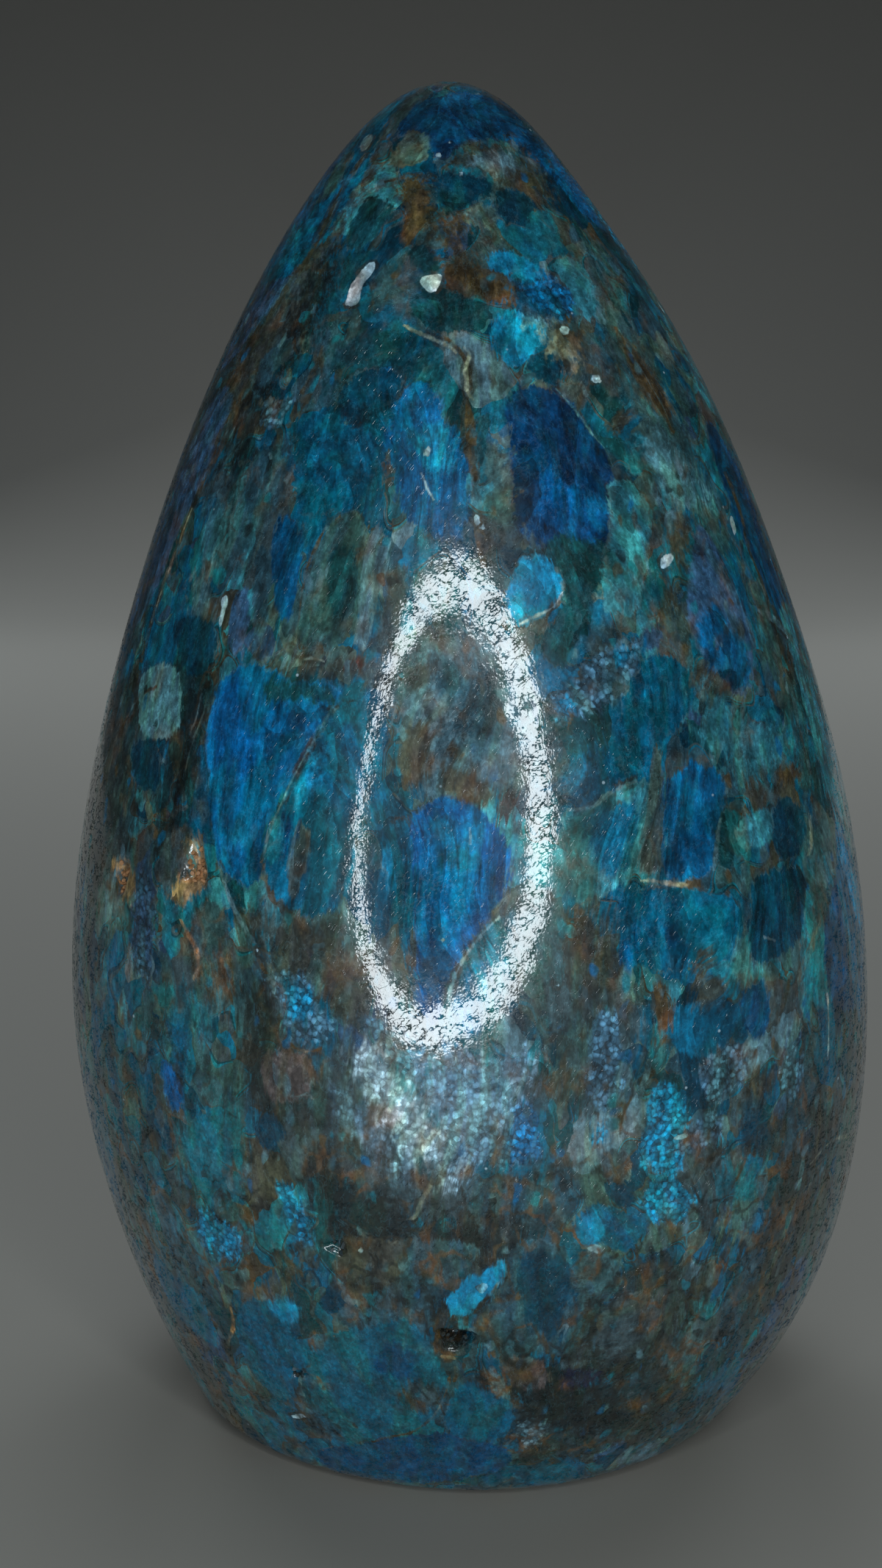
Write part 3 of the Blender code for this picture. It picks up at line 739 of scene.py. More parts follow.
def skin_length(height):
    """Millimetres along the skin from the tip down to a height, counted upwards."""
    return -np.interp(height, DOWN_HEIGHTS, DOWN_LENGTHS)


def cut_plane(bearings, heights, middle):
    """Places on the skin, unrolled about a middle bearing, in millimetres across and up."""
    turn = math.radians(middle)
    stretch = math.hypot(math.sin(turn), DEPTH_TO_WIDTH * math.cos(turn))
    off = (np.asarray(bearings, float) - middle + 180) % 360 - 180
    across = np.radians(off) * half_width_at(share_down(heights)) * stretch / MM
    return np.stack([across, skin_length(heights)], axis=-1)


def ring_heights(count):
    """Heights of the skin's rings from the table to just below the tip, closest where it curves most."""
    edge = BASE_EDGE_ROUND * (1 - np.cos(np.linspace(0, math.pi / 2, 8)))[:-1]
    body = HEIGHT * (1 - np.linspace(math.sqrt(1 - BASE_EDGE_ROUND / HEIGHT), 0.012, 2000) ** 2)
    run = np.hypot(np.gradient(half_width_at(share_down(body))), np.gradient(body))
    length = np.cumsum(run)
    even = np.linspace(length[0], length[-1], count - len(edge))
    return np.concatenate([edge, np.interp(even, length, body)])


def polished_skin(rings, segments):
    """Points and faces of the closed skin: its rings, a fan at the tip and a flat base."""
    heights = ring_heights(rings)
    bearings = np.radians(np.arange(segments) * 360.0 / segments - 180)
    points = surface_point(bearings[None, :], heights[:, None]).reshape(-1, 3)
    faces = []
    for ring in range(rings - 1):
        low = ring * segments
        for step in range(segments):
            after = (step + 1) % segments
            faces.append((low + step, low + after, low + segments + after, low + segments + step))
    tip = len(points)
    last = (rings - 1) * segments
    tip_point = [[float(middle_at(0.0)), 0.0, HEIGHT]]
    for step in range(segments):
        faces.append((last + step, last + (step + 1) % segments, tip))
    base_middle = np.array([float(middle_at(1.0)), 0.0, 0.0])
    base = [points[:segments] * share + base_middle * (1 - share) for share in (0.94, 0.66, 0.33)]
    for ring in range(len(base)):
        outer = 0 if ring == 0 else tip + 1 + (ring - 1) * segments
        inner = tip + 1 + ring * segments
        for step in range(segments):
            after = (step + 1) % segments
            faces.append((inner + step, inner + after, outer + after, outer + step))
    centre = tip + 1 + len(base) * segments
    last = tip + 1 + (len(base) - 1) * segments
    for step in range(segments):
        faces.append((centre, last + (step + 1) % segments, last + step))
    points = np.concatenate([points, tip_point, *base, [base_middle]])
    return points - CENTRE, faces


def press_hollows(mesh):
    """Splits the skin finely round each hollow and presses the hollow in."""
    bm = bmesh.new()
    bm.from_mesh(mesh)
    for bearing, height, half_width, half_height, depth in HOLLOWS:
        middle, out = skin_at(bearing, height)
        up = (Vector((0, 0, 1)) - out * out.z).normalized()
        side = up.cross(out)
        reach = 1.5 * max(half_width, half_height)
        near = [edge for edge in bm.edges if ((edge.verts[0].co + edge.verts[1].co) / 2 - middle).length < reach]
        bmesh.ops.subdivide_edges(bm, edges=near, cuts=2, use_grid_fill=True)
        for vert in bm.verts:
            off = vert.co - middle
            if off.length > reach:
                continue
            across, along = off.dot(side) / half_width, off.dot(up) / half_height
            ragged = 1 + 0.18 * math.sin(3 * math.atan2(along, across) + bearing)
            inside = 1 - min(1.0, math.hypot(across, along) / ragged)
            vert.co -= out * depth * min(1.0, 1.9 * inside) ** 1.3
    bmesh.ops.triangulate(bm, faces=bm.faces)
    bm.normal_update()
    bm.to_mesh(mesh)
    bm.free()


def read_outline(text):
    """Bearings and heights (in metres) of an outline written as 'bearing height' pairs."""
    pairs = np.array([[float(word) for word in pair.split()] for pair in text.split(",")])
    return pairs[:, 0], pairs[:, 1] * MM


def drawn_cuts():
    """The cuts drawn for the front, lowest first: level, kind, tint, line width and outline."""
    cuts = []
    for tint, text in GROUND:
        cuts.append((0, "cloud", tint, 0.0, *read_outline(text)))
    for kind, tint, text in CRYSTALS:
        cuts.append((1, kind, tint, 0.0, *read_outline(text)))
    for kind, tint, text in INSIDES:
        cuts.append((2, kind, tint, 0.0, *read_outline(text)))
    for tint, width, text in VEINS:
        cuts.append((3, "vein", tint, width, *read_outline(text)))
    for tint, text in CHIPS_AND_GLINTS:
        cuts.append((4, "chip", tint, 0.0, *read_outline(text)))
    return cuts


def grown_outline(rng, bearing, height, half_width, half_height, corners, lean):
    """An uneven outline of a crystal or grain about a middle point."""
    start = rng.uniform(0, math.tau)
    bearings, heights = [], []
    scale = float(half_width_at(share_down(height)))
    for corner in range(corners):
        angle = start + math.tau * (corner + rng.uniform(-0.28, 0.28)) / corners
        reach = rng.uniform(0.78, 1.15)
        across = half_width * reach * math.cos(angle)
        up = half_height * reach * math.sin(angle)
        slant = math.radians(lean)
        across, up = across * math.cos(slant) + up * math.sin(slant), up * math.cos(slant) - across * math.sin(slant)
        heights.append(min(max(height + up, 0.0005), HEIGHT - 0.001))
        bearings.append(bearing + math.degrees(across / scale))
    return np.array(bearings), np.array(heights)


def grown_cuts(seed, crystals):
    """Cuts for the sides, back and base, of the same kinds as those drawn for the front."""
    rng = random.Random(seed)
    kinds = (
        (0, "cloud", ("umber", "slate", "moss", "stone", "loam", "pine"), (0.008, 0.016), (0.010, 0.024), 9, 0.30),
        (1, "pane", ("blue", "deep", "sea", "teal", "pine", "dusk", "mint"), (0.004, 0.009), (0.008, 0.017), 7, 1.0),
        (1, "grain", ("slate", "stone", "sea", "teal", "lagoon", "moss"), (0.003, 0.006), (0.003, 0.008), 8, 0.7),
        (2, "core", ("deep", "navy", "azure", "pine", "umber", "cobalt"), (0.002, 0.004), (0.003, 0.008), 7, 0.5),
        (2, "sugar", ("powder", "azure", "mist"), (0.002, 0.004), (0.002, 0.006), 8, 0.3),
        (2, "cloud", ("rust", "ochre", "umber", "pine"), (0.001, 0.003), (0.003, 0.008), 7, 0.35),
        # small bright marks: pale chips and painted glints
        (4, "chip", ("ice", "pale", "cream"), (0.0003, 0.0007), (0.0004, 0.0014), 5, 0.3),
    )
    cuts = []
    for level, kind, tints, widths, lengths, corners, share in kinds:
        for _ in range(int(crystals * share)):
            bearing = rng.uniform(-28, 208)
            height = HEIGHT * (1 - rng.uniform(0.12, 1.0) ** 2)
            lean = rng.gauss(0, 9) if kind == "pane" else rng.uniform(-40, 40)
            half_width, half_height = rng.uniform(*widths), rng.uniform(*lengths)
            outline = grown_outline(rng, bearing, height, half_width, half_height, corners, lean)
            cuts.append((level, kind, rng.choice(tints), 0.0, *outline))
    for _ in range(int(crystals * 0.5)):
        bearing, height = rng.uniform(-28, 208), rng.uniform(0.004, 0.135)
        bearings, heights = [bearing], [height]
        heading = rng.gauss(0, 0.5)
        for _ in range(5):
            heading += rng.gauss(0, 0.35)
            bearings.append(bearings[-1] + math.degrees(0.004 * math.sin(heading) / 0.04))
            heights.append(min(heights[-1] + 0.004 * math.cos(heading), 0.145))
        tint = rng.choice(("rust", "umber", "cream", "ink", "mist", "ochre"))
        cuts.append((3, "vein", tint, rng.uniform(0.2, 1.1), np.array(bearings), np.array(heights)))
    return cuts


def rounded(line, closed, rounds):
    """The line with its corners cut off, as polishing through an uneven crystal leaves them."""
    for _ in range(rounds):
        after = np.roll(line, -1, axis=0) if closed else line[1:]
        here = line if closed else line[:-1]
        cut = np.stack([0.75 * here + 0.25 * after, 0.25 * here + 0.75 * after], axis=1).reshape(-1, 2)
        line = cut if closed else np.concatenate([line[:1], cut[1:-1], line[-1:]])
    return line


def distance_to_line(points, starts, ends):
    """Distance of each point from the nearest piece of a line, that piece, and the place along it."""
    run = ends - starts
    size = np.maximum((run**2).sum(axis=1), 1e-9)
    off = points[:, None, :] - starts[None, :, :]
    along = np.clip((off * run[None]).sum(axis=2) / size, 0, 1)
    gap = np.hypot(*np.moveaxis(off - along[..., None] * run[None], 2, 0))
    nearest = gap.argmin(axis=1)
    rows = np.arange(len(points))
    return gap[rows, nearest], nearest, along[rows, nearest], off[rows, nearest], run[nearest]


def distance_outside(points, outline):
    """Distance of each point from a closed outline, negative inside it."""
    ends = np.roll(outline, -1, axis=0)
    gap = distance_to_line(points, outline, ends)[0]
    low = outline[None, :, 1] <= points[:, None, 1]
    high = ends[None, :, 1] <= points[:, None, 1]
    rise = ends[:, 1] - outline[:, 1]
    rise = np.where(np.abs(rise) < 1e-9, 1e-9, rise)
    crossing = outline[None, :, 0] + (points[:, None, 1] - outline[None, :, 1]) / rise * (ends - outline)[None, :, 0]
    inside = ((low != high) & (points[:, None, 0] < crossing)).sum(axis=1) % 2 == 1
    return np.where(inside, -gap, gap)


def distance_across(points, line, width):
    """Signed distance from an open line, larger near its ends so that the vein tapers out there."""
    starts, ends = line[:-1], line[1:]
    gap, piece, along, off, run = distance_to_line(points, starts, ends)
    side = np.sign(run[:, 0] * off[:, 1] - run[:, 1] * off[:, 0])
    lengths = np.hypot(*(ends - starts).T)
    before = np.concatenate([[0], np.cumsum(lengths)[:-1]])
    place = before[piece] + along * lengths[piece]
    from_end = np.minimum(place, lengths.sum() - place)
    taper = np.clip(1 - from_end / (2.5 * width + 0.8), 0, 1)
    side = np.where(side == 0, 1, side)
    return side * (gap + width * 0.5 * taper**2), from_end <= 1e-6


def edge_distance(cut, bearings, heights):
    """Millimetres from the edge of a cut to each place on the skin, and how far its edge may wander."""
    level, kind, tint, width, outline_bearings, outline_heights = cut
    softness, wander = KINDS[kind][:2]
    middle = float(np.mean(outline_bearings))
    outline = cut_plane(outline_bearings, outline_heights, middle)
    outline = rounded(outline, kind != "vein", 1 if kind in ("pane", "chip") else 2)
    places = cut_plane(bearings, heights, middle)
    wandering = softness + 0.9 * wander + 0.1
    window = wandering + width + 1.5
    low, high = outline.min(axis=0) - window, outline.max(axis=0) + window
    near = np.flatnonzero(((places > low) & (places < high)).all(axis=1))
    distance = np.full(len(places), np.inf)
    if kind == "vein":
        distance[near], past_end = distance_across(places[near], outline, width)
        distance[near[past_end]] = np.inf
    else:
        distance[near] = distance_outside(places[near], outline)
    return distance, wandering


def lay_cuts(mesh, cuts):
    """Stores on each face the cuts that show there, lowest first, so that the skin needs only a few layers."""
    points = np.empty(len(mesh.vertices) * 3)
    mesh.vertices.foreach_get("co", points)
    bearings, heights = bearing_and_height(points.reshape(-1, 3))
    corners = np.empty(len(mesh.loops), np.int32)
    mesh.loops.foreach_get("vertex_index", corners)
    corners = corners.reshape(-1, 3)
    count = len(corners)
    edge = np.full((MOST_LAYERS, count, 3), 9.0, np.float32)
    tint = np.zeros((MOST_LAYERS, count, 4), np.float32)
    grain = np.zeros((MOST_LAYERS, count, 3), np.float32)
    width = np.zeros((MOST_LAYERS, count, 3), np.float32)
    used = np.zeros(count, int)
    for cut in sorted(cuts, key=lambda item: item[0]):
        level, kind, colour, line_width = cut[:4]
        softness, wander, fibres, sugar, cover = KINDS[kind]
        distance, wandering = edge_distance(cut, bearings, heights)
        at_corners = distance[corners]
        gap = np.abs(at_corners) - line_width / 2 if kind == "vein" else at_corners
        faces = np.flatnonzero(np.isfinite(at_corners).all(axis=1) & (gap.min(axis=1) < wandering))
        hides = faces[(cover == 1.0) & (gap[faces].max(axis=1) < -wandering)]
        used[hides] = 0
        full = faces[used[faces] == MOST_LAYERS]
        for kept in (edge, tint, grain, width):
            kept[:-1, full] = kept[1:, full]
        used[full] -= 1
        edge[used[faces], faces] = at_corners[faces]
        tint[used[faces], faces] = (*TINTS[colour], cover)
        grain[used[faces], faces] = (softness, fibres, sugar)
        width[used[faces], faces] = (line_width / 2, wander, 1.0 if kind == "vein" else 0.0)
        used[faces] += 1
    for layer in range(MOST_LAYERS):
        edge[layer, used <= layer] = 9.0
        tint[layer, used <= layer] = 0.0
        store(mesh, f"edge_{layer}", "FLOAT", "CORNER", "value", edge[layer])
        store(mesh, f"tint_{layer}", "FLOAT_COLOR", "FACE", "color", tint[layer])
        store(mesh, f"grain_{layer}", "FLOAT_VECTOR", "FACE", "vector", grain[layer])
        store(mesh, f"width_{layer}", "FLOAT_VECTOR", "FACE", "vector", width[layer])


def store(mesh, name, kind, domain, field, values):
    """Keeps values as an attribute of the mesh."""
    mesh.attributes.new(name, kind, domain).data.foreach_set(field, values.ravel())


class Bench:
    """Adds nodes to a tree: a value that is a socket is linked, and any other value is set."""

    def __init__(self, tree):
        self.tree = tree

    def feed(self, socket, value):
        if isinstance(value, bpy.types.NodeSocket):
            self.tree.links.new(value, socket)
        else:
            socket.default_value = value

    def node(self, kind, inputs=None, **settings):
        made = self.tree.nodes.new(kind)
        for name, value in settings.items():
            setattr(made, name, value)
        for name, value in (inputs or {}).items():
            self.feed(made.inputs[name], value)
        return made

    def maths(self, operation, *values):
        made = self.node("ShaderNodeMath", operation=operation)
        for socket, value in zip(made.inputs, values):
            self.feed(socket, value)
        return made.outputs[0]

    def vector(self, operation, *values):
        made = self.node("ShaderNodeVectorMath", operation=operation)
        for socket, value in zip(made.inputs, values):
            self.feed(socket, value)
        return made.outputs[0]

    def vector_length(self, vector):
        return self.node("ShaderNodeVectorMath", {0: vector}, operation="LENGTH").outputs["Value"]

    def blend(self, share, under, over, mode="MIX"):
        made = self.node("ShaderNodeMix", data_type="RGBA", blend_type=mode)
        self.feed(made.inputs[0], share)
        self.feed(made.inputs[6], under)
        self.feed(made.inputs[7], over)
        return made.outputs[2]

    def ease(self, value, low, high, to_low=0.0, to_high=1.0):
        """The value eased from one range to another, and held at its ends."""
        inputs = {"Value": value, "From Min": low, "From Max": high, "To Min": to_low, "To Max": to_high}
        return self.node("ShaderNodeMapRange", inputs, interpolation_type="SMOOTHSTEP").outputs[0]

    def scaled(self, colour, share):
        """The colour made brighter or darker."""
        made = self.node("ShaderNodeVectorMath", {0: colour, "Scale": share}, operation="SCALE")
        return made.outputs[0]

    def choose(self, value, mix):
        """One tint of a mix, each with the share of the range that it takes."""
        ramp = self.node("ShaderNodeValToRGB", {0: value})
        ramp.color_ramp.interpolation = "CONSTANT"
        total = sum(share for tint, share in mix)
        start = 0.0
        for number, (tint, share) in enumerate(mix):
            stops = ramp.color_ramp.elements
            stop = stops[0] if number == 0 else stops.new(start / total)
            stop.position = start / total
            stop.color = (*TINTS[tint], 1.0)
            start += share
        ramp.color_ramp.elements.remove(ramp.color_ramp.elements[-1])
        return ramp.outputs["Color"]

    def stretch(self, place, sizes, turn=(0.0, 0.0, 0.0), shift=(0.0, 0.0, 0.0)):
        """Millimetres of the object, moved, turned and divided by sizes along the turned axes."""
        inputs = {"Vector": place, "Location": shift, "Rotation": turn, "Scale": sizes}
        return self.node("ShaderNodeMapping", inputs, vector_type="TEXTURE").outputs[0]

    def noise(self, place, detail=2.0, roughness=0.5):
        inputs = {"Vector": place, "Scale": 1.0, "Detail": detail, "Roughness": roughness}
        return self.node("ShaderNodeTexNoise", inputs).outputs["Fac"]

    def cells(self, place, feature="F1", randomness=1.0):
        inputs = {"Vector": place, "Scale": 1.0, "Randomness": randomness}
        return self.node("ShaderNodeTexVoronoi", inputs, feature=feature)


def lay_cut_group():
    """The nodes that lay one layer of cuts over the colour below it."""
    group = bpy.data.node_groups.new("lay one layer of cuts", "ShaderNodeTree")
    wanted = (
        ("Below", "NodeSocketColor"),
        ("Edge", "NodeSocketFloat"),
        ("Tint", "NodeSocketColor"),
        ("Cover", "NodeSocketFloat"),
        ("Grain", "NodeSocketVector"),
        ("Width", "NodeSocketVector"),
        ("Wander", "NodeSocketFloat"),
        ("Fibres", "NodeSocketFloat"),
        ("Sugar", "NodeSocketFloat"),
        ("Rim", "NodeSocketFloat"),
        ("Seam", "NodeSocketFloat"),
        ("Break", "NodeSocketFloat"),
    )
    for name, kind in wanted:
        group.interface.new_socket(name, in_out="INPUT", socket_type=kind)
    group.interface.new_socket("Colour", in_out="OUTPUT", socket_type="NodeSocketColor")
    bench = Bench(group)
    given = bench.node("NodeGroupInput").outputs
    grain = bench.node("ShaderNodeSeparateXYZ", {"Vector": given["Grain"]}).outputs
    width = bench.node("ShaderNodeSeparateXYZ", {"Vector": given["Width"]}).outputs
    away = bench.maths("ABSOLUTE", given["Edge"])
    either_side = bench.maths("MULTIPLY", bench.maths("SUBTRACT", away, given["Edge"]), width[2])
    edge = bench.maths("SUBTRACT", bench.maths("ADD", given["Edge"], either_side), width[0])
    edge = bench.maths("MULTIPLY_ADD", given["Wander"], width[1], edge)
    inside = bench.ease(edge, grain[0], bench.maths("MULTIPLY", grain[0], -1.0))
    whole = bench.maths("MULTIPLY_ADD", bench.maths("SUBTRACT", given["Break"], 1.0), width[2], 1.0)
    covered = bench.maths("MULTIPLY", bench.maths("MULTIPLY", inside, given["Cover"]), whole)
    streaked = bench.maths("MULTIPLY_ADD", bench.maths("SUBTRACT", given["Fibres"], 1.0), grain[1], 1.0)
    sugared = bench.maths("MULTIPLY_ADD", bench.maths("SUBTRACT", given["Sugar"], 1.0), grain[2], 1.0)
    bright = bench.maths("MULTIPLY", streaked, sugared)
    lit = bench.vector("SCALE", given["Tint"])
    bench.feed(lit.node.inputs["Scale"], bright)
    crisp = bench.ease(grain[0], 0.35, 0.10)
    on_rim = bench.ease(bench.maths("ABSOLUTE", bench.maths("ADD", edge, 0.10)), 0.20, 0.02)
    rim = bench.maths("MULTIPLY", bench.maths("MULTIPLY", on_rim, given["Rim"]), crisp)
    lit = bench.blend(rim, lit, (0.16, 0.24, 0.26, 1.0))
    beside = bench.ease(bench.maths("ABSOLUTE", bench.maths("SUBTRACT", edge, 0.22)), 0.32, 0.05)
    seam = bench.maths("MULTIPLY", bench.maths("MULTIPLY", beside, given["Seam"]), crisp)
    below = bench.blend(seam, given["Below"], (0.030, 0.020, 0.012, 1.0))
    made = bench.blend(covered, below, lit)
    bench.node("NodeGroupOutput", {"Colour": made})
    return group


def apatite_material(look):
    """Polished apatite: fibrous blue crystals, sugary grains and rusty veins in grey-green rock, with painted glints in
    its colour.
    """
    material = bpy.data.materials.new("polished_apatite")
    material.use_nodes = True
    material.node_tree.nodes.clear()
    bench = Bench(material.node_tree)
    place = bench.node("ShaderNodeTexCoord").outputs["Object"]
    place = bench.vector("SCALE", place)
    place.node.inputs["Scale"].default_value = 1 / MM

    drift = bench.maths("SUBTRACT", bench.noise(bench.stretch(place, (3.2, 3.2, 4.6)), 3.0, 0.65), 0.5)
    lean = bench.maths("SUBTRACT", bench.noise(bench.stretch(place, (15.0, 15.0, 24.0)), 1.0), 0.5)
    leaning = bench.node("ShaderNodeCombineXYZ", {"X": bench.maths("MULTIPLY", lean, 16.0), "Y": bench.maths("MULTIPLY", lean, 9.0)})
    grown = bench.vector("ADD", place, leaning.outputs[0])
    long_fibres = bench.noise(bench.stretch(grown, (1.1, 1.1, 19.0)), 2.0, 0.62)
    short_fibres = bench.noise(bench.stretch(grown, (0.36, 0.36, 6.0)), 2.0, 0.6)
    ragged = bench.maths("SUBTRACT", bench.noise(bench.stretch(grown, (0.55, 0.55, 3.8)), 2.0, 0.7), 0.5)
    wander = bench.maths("MULTIPLY_ADD", ragged, 3.4, bench.maths("MULTIPLY", drift, 3.2))

    jumble = bench.node("ShaderNodeTexNoise", {"Vector": bench.stretch(place, (2.4, 2.4, 3.2)), "Scale": 1.0})
    jumble.inputs["Detail"].default_value = 2.0
    jumbled = bench.vector("SUBTRACT", jumble.outputs["Color"], (0.5, 0.5, 0.5))
    shaken = bench.vector("MULTIPLY_ADD", jumbled, (2.4, 2.4, 4.0), place)

    shards = bench.cells(bench.stretch(bench.vector("MULTIPLY_ADD", jumbled, (0.9, 0.9, 3.0), grown), (2.0, 2.0, 13.0)))
    shard = bench.node("ShaderNodeSeparateColor", {"Color": shards.outputs["Color"]}).outputs
    fibres = bench.maths("MULTIPLY_ADD", bench.maths("SUBTRACT", long_fibres, 0.5), 3.2, 1.0)
    fibres = bench.maths("MULTIPLY_ADD", bench.maths("SUBTRACT", short_fibres, 0.5), 1.3, fibres)
    fibres = bench.maths("MULTIPLY", fibres, bench.ease(shard[0], 0.05, 0.95, 0.58, 1.48))
    fibres = bench.maths("MAXIMUM", bench.maths("MINIMUM", fibres, 2.2), 0.25)
    up = bench.node("ShaderNodeSeparateXYZ", {"Vector": place}).outputs[2]
    low = bench.ease(bench.maths("MULTIPLY_ADD", drift, 30.0, up), 60.0, 36.0)
    fibrous = bench.maths("MULTIPLY_ADD", low, -0.60, 0.92)
    fibres = bench.maths("MULTIPLY_ADD", bench.maths("SUBTRACT", fibres, 1.0), fibrous, 1.0)

    tiny_shake = bench.vector("MULTIPLY_ADD", jumbled, (0.5, 0.5, 0.5), place)
    # Sugary grains, each with its own brightness: partly the grains' own tone, and partly painted glints off their
    # faces.
    sugar_cells = bench.cells(bench.stretch(tiny_shake, (0.50, 0.50, 0.50)))
    glints = bench.node("ShaderNodeSeparateColor", {"Color": sugar_cells.outputs["Color"]}).outputs
    sugar = bench.maths("MULTIPLY_ADD", bench.maths("POWER", glints[0], 1.8), 1.7, 0.45)
    sugar = bench.maths("MULTIPLY", sugar, bench.ease(sugar_cells.outputs["Distance"], 0.80, 0.30, 0.45, 1.1))
    flakes = bench.cells(bench.stretch(tiny_shake, (0.55, 0.55, 1.15), shift=(2.0, 7.0, 1.0)))
    flake = bench.node("ShaderNodeSeparateColor", {"Color": flakes.outputs["Color"]}).outputs

    blocks = bench.cells(bench.stretch(shaken, (6.0, 6.0, 9.5), shift=(2.0, 1.0, 4.0)))
    block = bench.node("ShaderNodeSeparateColor", {"Color": blocks.outputs["Color"]}).outputs
    small_blocks = bench.cells(bench.stretch(shaken, (2.6, 2.6, 3.6), shift=(9.0, 5.0, 1.0)))
    small_block = bench.node("ShaderNodeSeparateColor", {"Color": small_blocks.outputs["Color"]}).outputs
    patches = bench.noise(bench.stretch(place, (7.0, 7.0, 11.0)), 3.0, 0.6)
    mottle = bench.noise(bench.stretch(place, (1.7, 1.7, 2.4), shift=(31.0, 7.0, 3.0)), 3.0, 0.65)
    broken = bench.ease(bench.noise(bench.stretch(place, (6.0, 6.0, 8.0), shift=(1.0, 9.0, 2.0)), 1.0), 0.50, 0.56)
    chosen = bench.node("ShaderNodeMix", {0: broken, 2: block[0], 3: small_block[0]}, data_type="FLOAT").outputs[0]
    rock = bench.choose(chosen, ROCK_MIX)
    rock_light = bench.maths("MULTIPLY_ADD", bench.maths("SUBTRACT", fibres, 1.0), 0.55, 1.0)
    rock_light = bench.maths("MULTIPLY", rock_light, bench.ease(block[1], 0.0, 1.0, 0.75, 1.25))
    rock = bench.scaled(rock, rock_light)
    earth = bench.blend(bench.ease(mottle, 0.35, 0.65), (*look.earth_colour, 1.0), (*TINTS["stone"], 1.0))
    earthy = bench.maths("MULTIPLY", bench.ease(patches, 0.54, 0.66), bench.ease(mottle, 0.34, 0.56, 0.25, 1.0))
    colour = bench.blend(bench.maths("MULTIPLY", earthy, 0.85), rock, earth)

    rim = bench.ease(bench.noise(bench.stretch(place, (4.0, 4.0, 7.0), shift=(3.0, 17.0, 5.0)), 1.0), 0.50, 0.62, 0.0, 0.45)
    seam = bench.ease(bench.noise(bench.stretch(place, (3.0, 3.0, 5.0), shift=(13.0, 1.0, 9.0)), 2.0), 0.50, 0.62, 0.0, 0.6)
    gaps = bench.ease(bench.noise(bench.stretch(place, (1.3, 1.3, 2.0), shift=(6.0, 2.0, 19.0)), 2.0, 0.6), 0.40, 0.56, 0.30, 1.0)
    group = lay_cut_group()
    for number in range(MOST_LAYERS):
        tint = bench.node("ShaderNodeAttribute", attribute_name=f"tint_{number}").outputs
        kept = {
            "Below": colour,
            "Edge": bench.node("ShaderNodeAttribute", attribute_name=f"edge_{number}").outputs["Fac"],
            "Tint": tint["Color"],
            "Cover": tint["Alpha"],
            "Grain": bench.node("ShaderNodeAttribute", attribute_name=f"grain_{number}").outputs["Vector"],
            "Width": bench.node("ShaderNodeAttribute", attribute_name=f"width_{number}").outputs["Vector"],
            "Wander": wander,
            "Fibres": fibres,
            "Sugar": sugar,
            "Rim": rim,
            "Seam": seam,
            "Break": gaps,
        }
        colour = bench.node("ShaderNodeGroup", kept, node_tree=group).outputs["Colour"]

    fine = bench.noise(bench.stretch(place, (0.30, 0.30, 0.42)), 1.0, 0.7)
    broad = bench.noise(bench.stretch(place, (3.4, 3.4, 5.0), shift=(8.0, 2.0, 1.0)), 1.0, 0.6)
    flecks = bench.cells(bench.stretch(shaken, (1.05, 1.05, 1.9), shift=(5.0, 1.0, 6.0)))
    fleck = bench.node("ShaderNodeSeparateColor", {"Color": flecks.outputs["Color"]}).outputs
    fleck_edge = bench.ease(flecks.outputs["Distance"], 0.62, 0.30)
    flecked = bench.ease(bench.noise(bench.stretch(place, (4.2, 4.2, 5.5), shift=(7.0, 3.0, 30.0)), 1.0), 0.40, 0.58, 0.15, 0.80)
    red = bench.node("ShaderNodeSeparateColor", {"Color": colour}).outputs[0]
    rocky = bench.ease(red, 0.003, 0.016, 0.12, 1.0)
    joints = bench.cells(bench.stretch(shaken, (6.0, 6.0, 9.5), shift=(2.0, 1.0, 4.0)), "DISTANCE_TO_EDGE")
    small_joints = bench.cells(bench.stretch(shaken, (2.6, 2.6, 3.6), shift=(9.0, 5.0, 1.0)), "DISTANCE_TO_EDGE")
    joint = bench.maths("MAXIMUM", bench.ease(joints.outputs["Distance"], 0.09, 0.02), bench.maths("MULTIPLY", bench.ease(small_joints.outputs["Distance"], 0.11, 0.03), 0.8))
    joint = bench.maths("MULTIPLY", bench.maths("MULTIPLY", joint, gaps), bench.maths("MULTIPLY_ADD", low, 0.45, 0.40))
    dirt = bench.blend(bench.ease(broad, 0.44, 0.60), (*TINTS["ink"], 1.0), (*look.rust_colour, 1.0))
    colour = bench.blend(bench.maths("MULTIPLY", joint, rocky), colour, dirt)
    there = bench.maths("MULTIPLY", bench.maths("MULTIPLY", bench.ease(fleck[1], 0.62, 0.68), fleck_edge), flecked)
    there = bench.maths("MULTIPLY", there, rocky)
    colour = bench.blend(there, colour, bench.choose(fleck[0], FLECK_MIX))
    grain = bench.maths("MULTIPLY", bench.ease(fine, 0.28, 0.72, 0.84, 1.18), bench.ease(mottle, 0.3, 0.7, 0.62, 1.40))
    grain = bench.maths("MULTIPLY", grain, bench.ease(flake[0], 0.0, 1.0, 0.86, 1.16))
    colour = bench.scaled(colour, grain)
    greener = bench.vector("MULTIPLY", colour, (1.1, 1.18, 0.88))
    tealing = bench.noise(bench.stretch(grown, (2.2, 2.2, 9.0), shift=(3.0, 21.0, 8.0)), 2.0, 0.6)
    colour = bench.blend(bench.ease(tealing, 0.42, 0.62, 0.0, 0.9), colour, greener)
    browner = bench.vector("MULTIPLY", colour, (2.0, 1.05, 0.80))
    colour = bench.blend(bench.ease(broad, 0.52, 0.68, 0.0, 0.45), colour, browner)
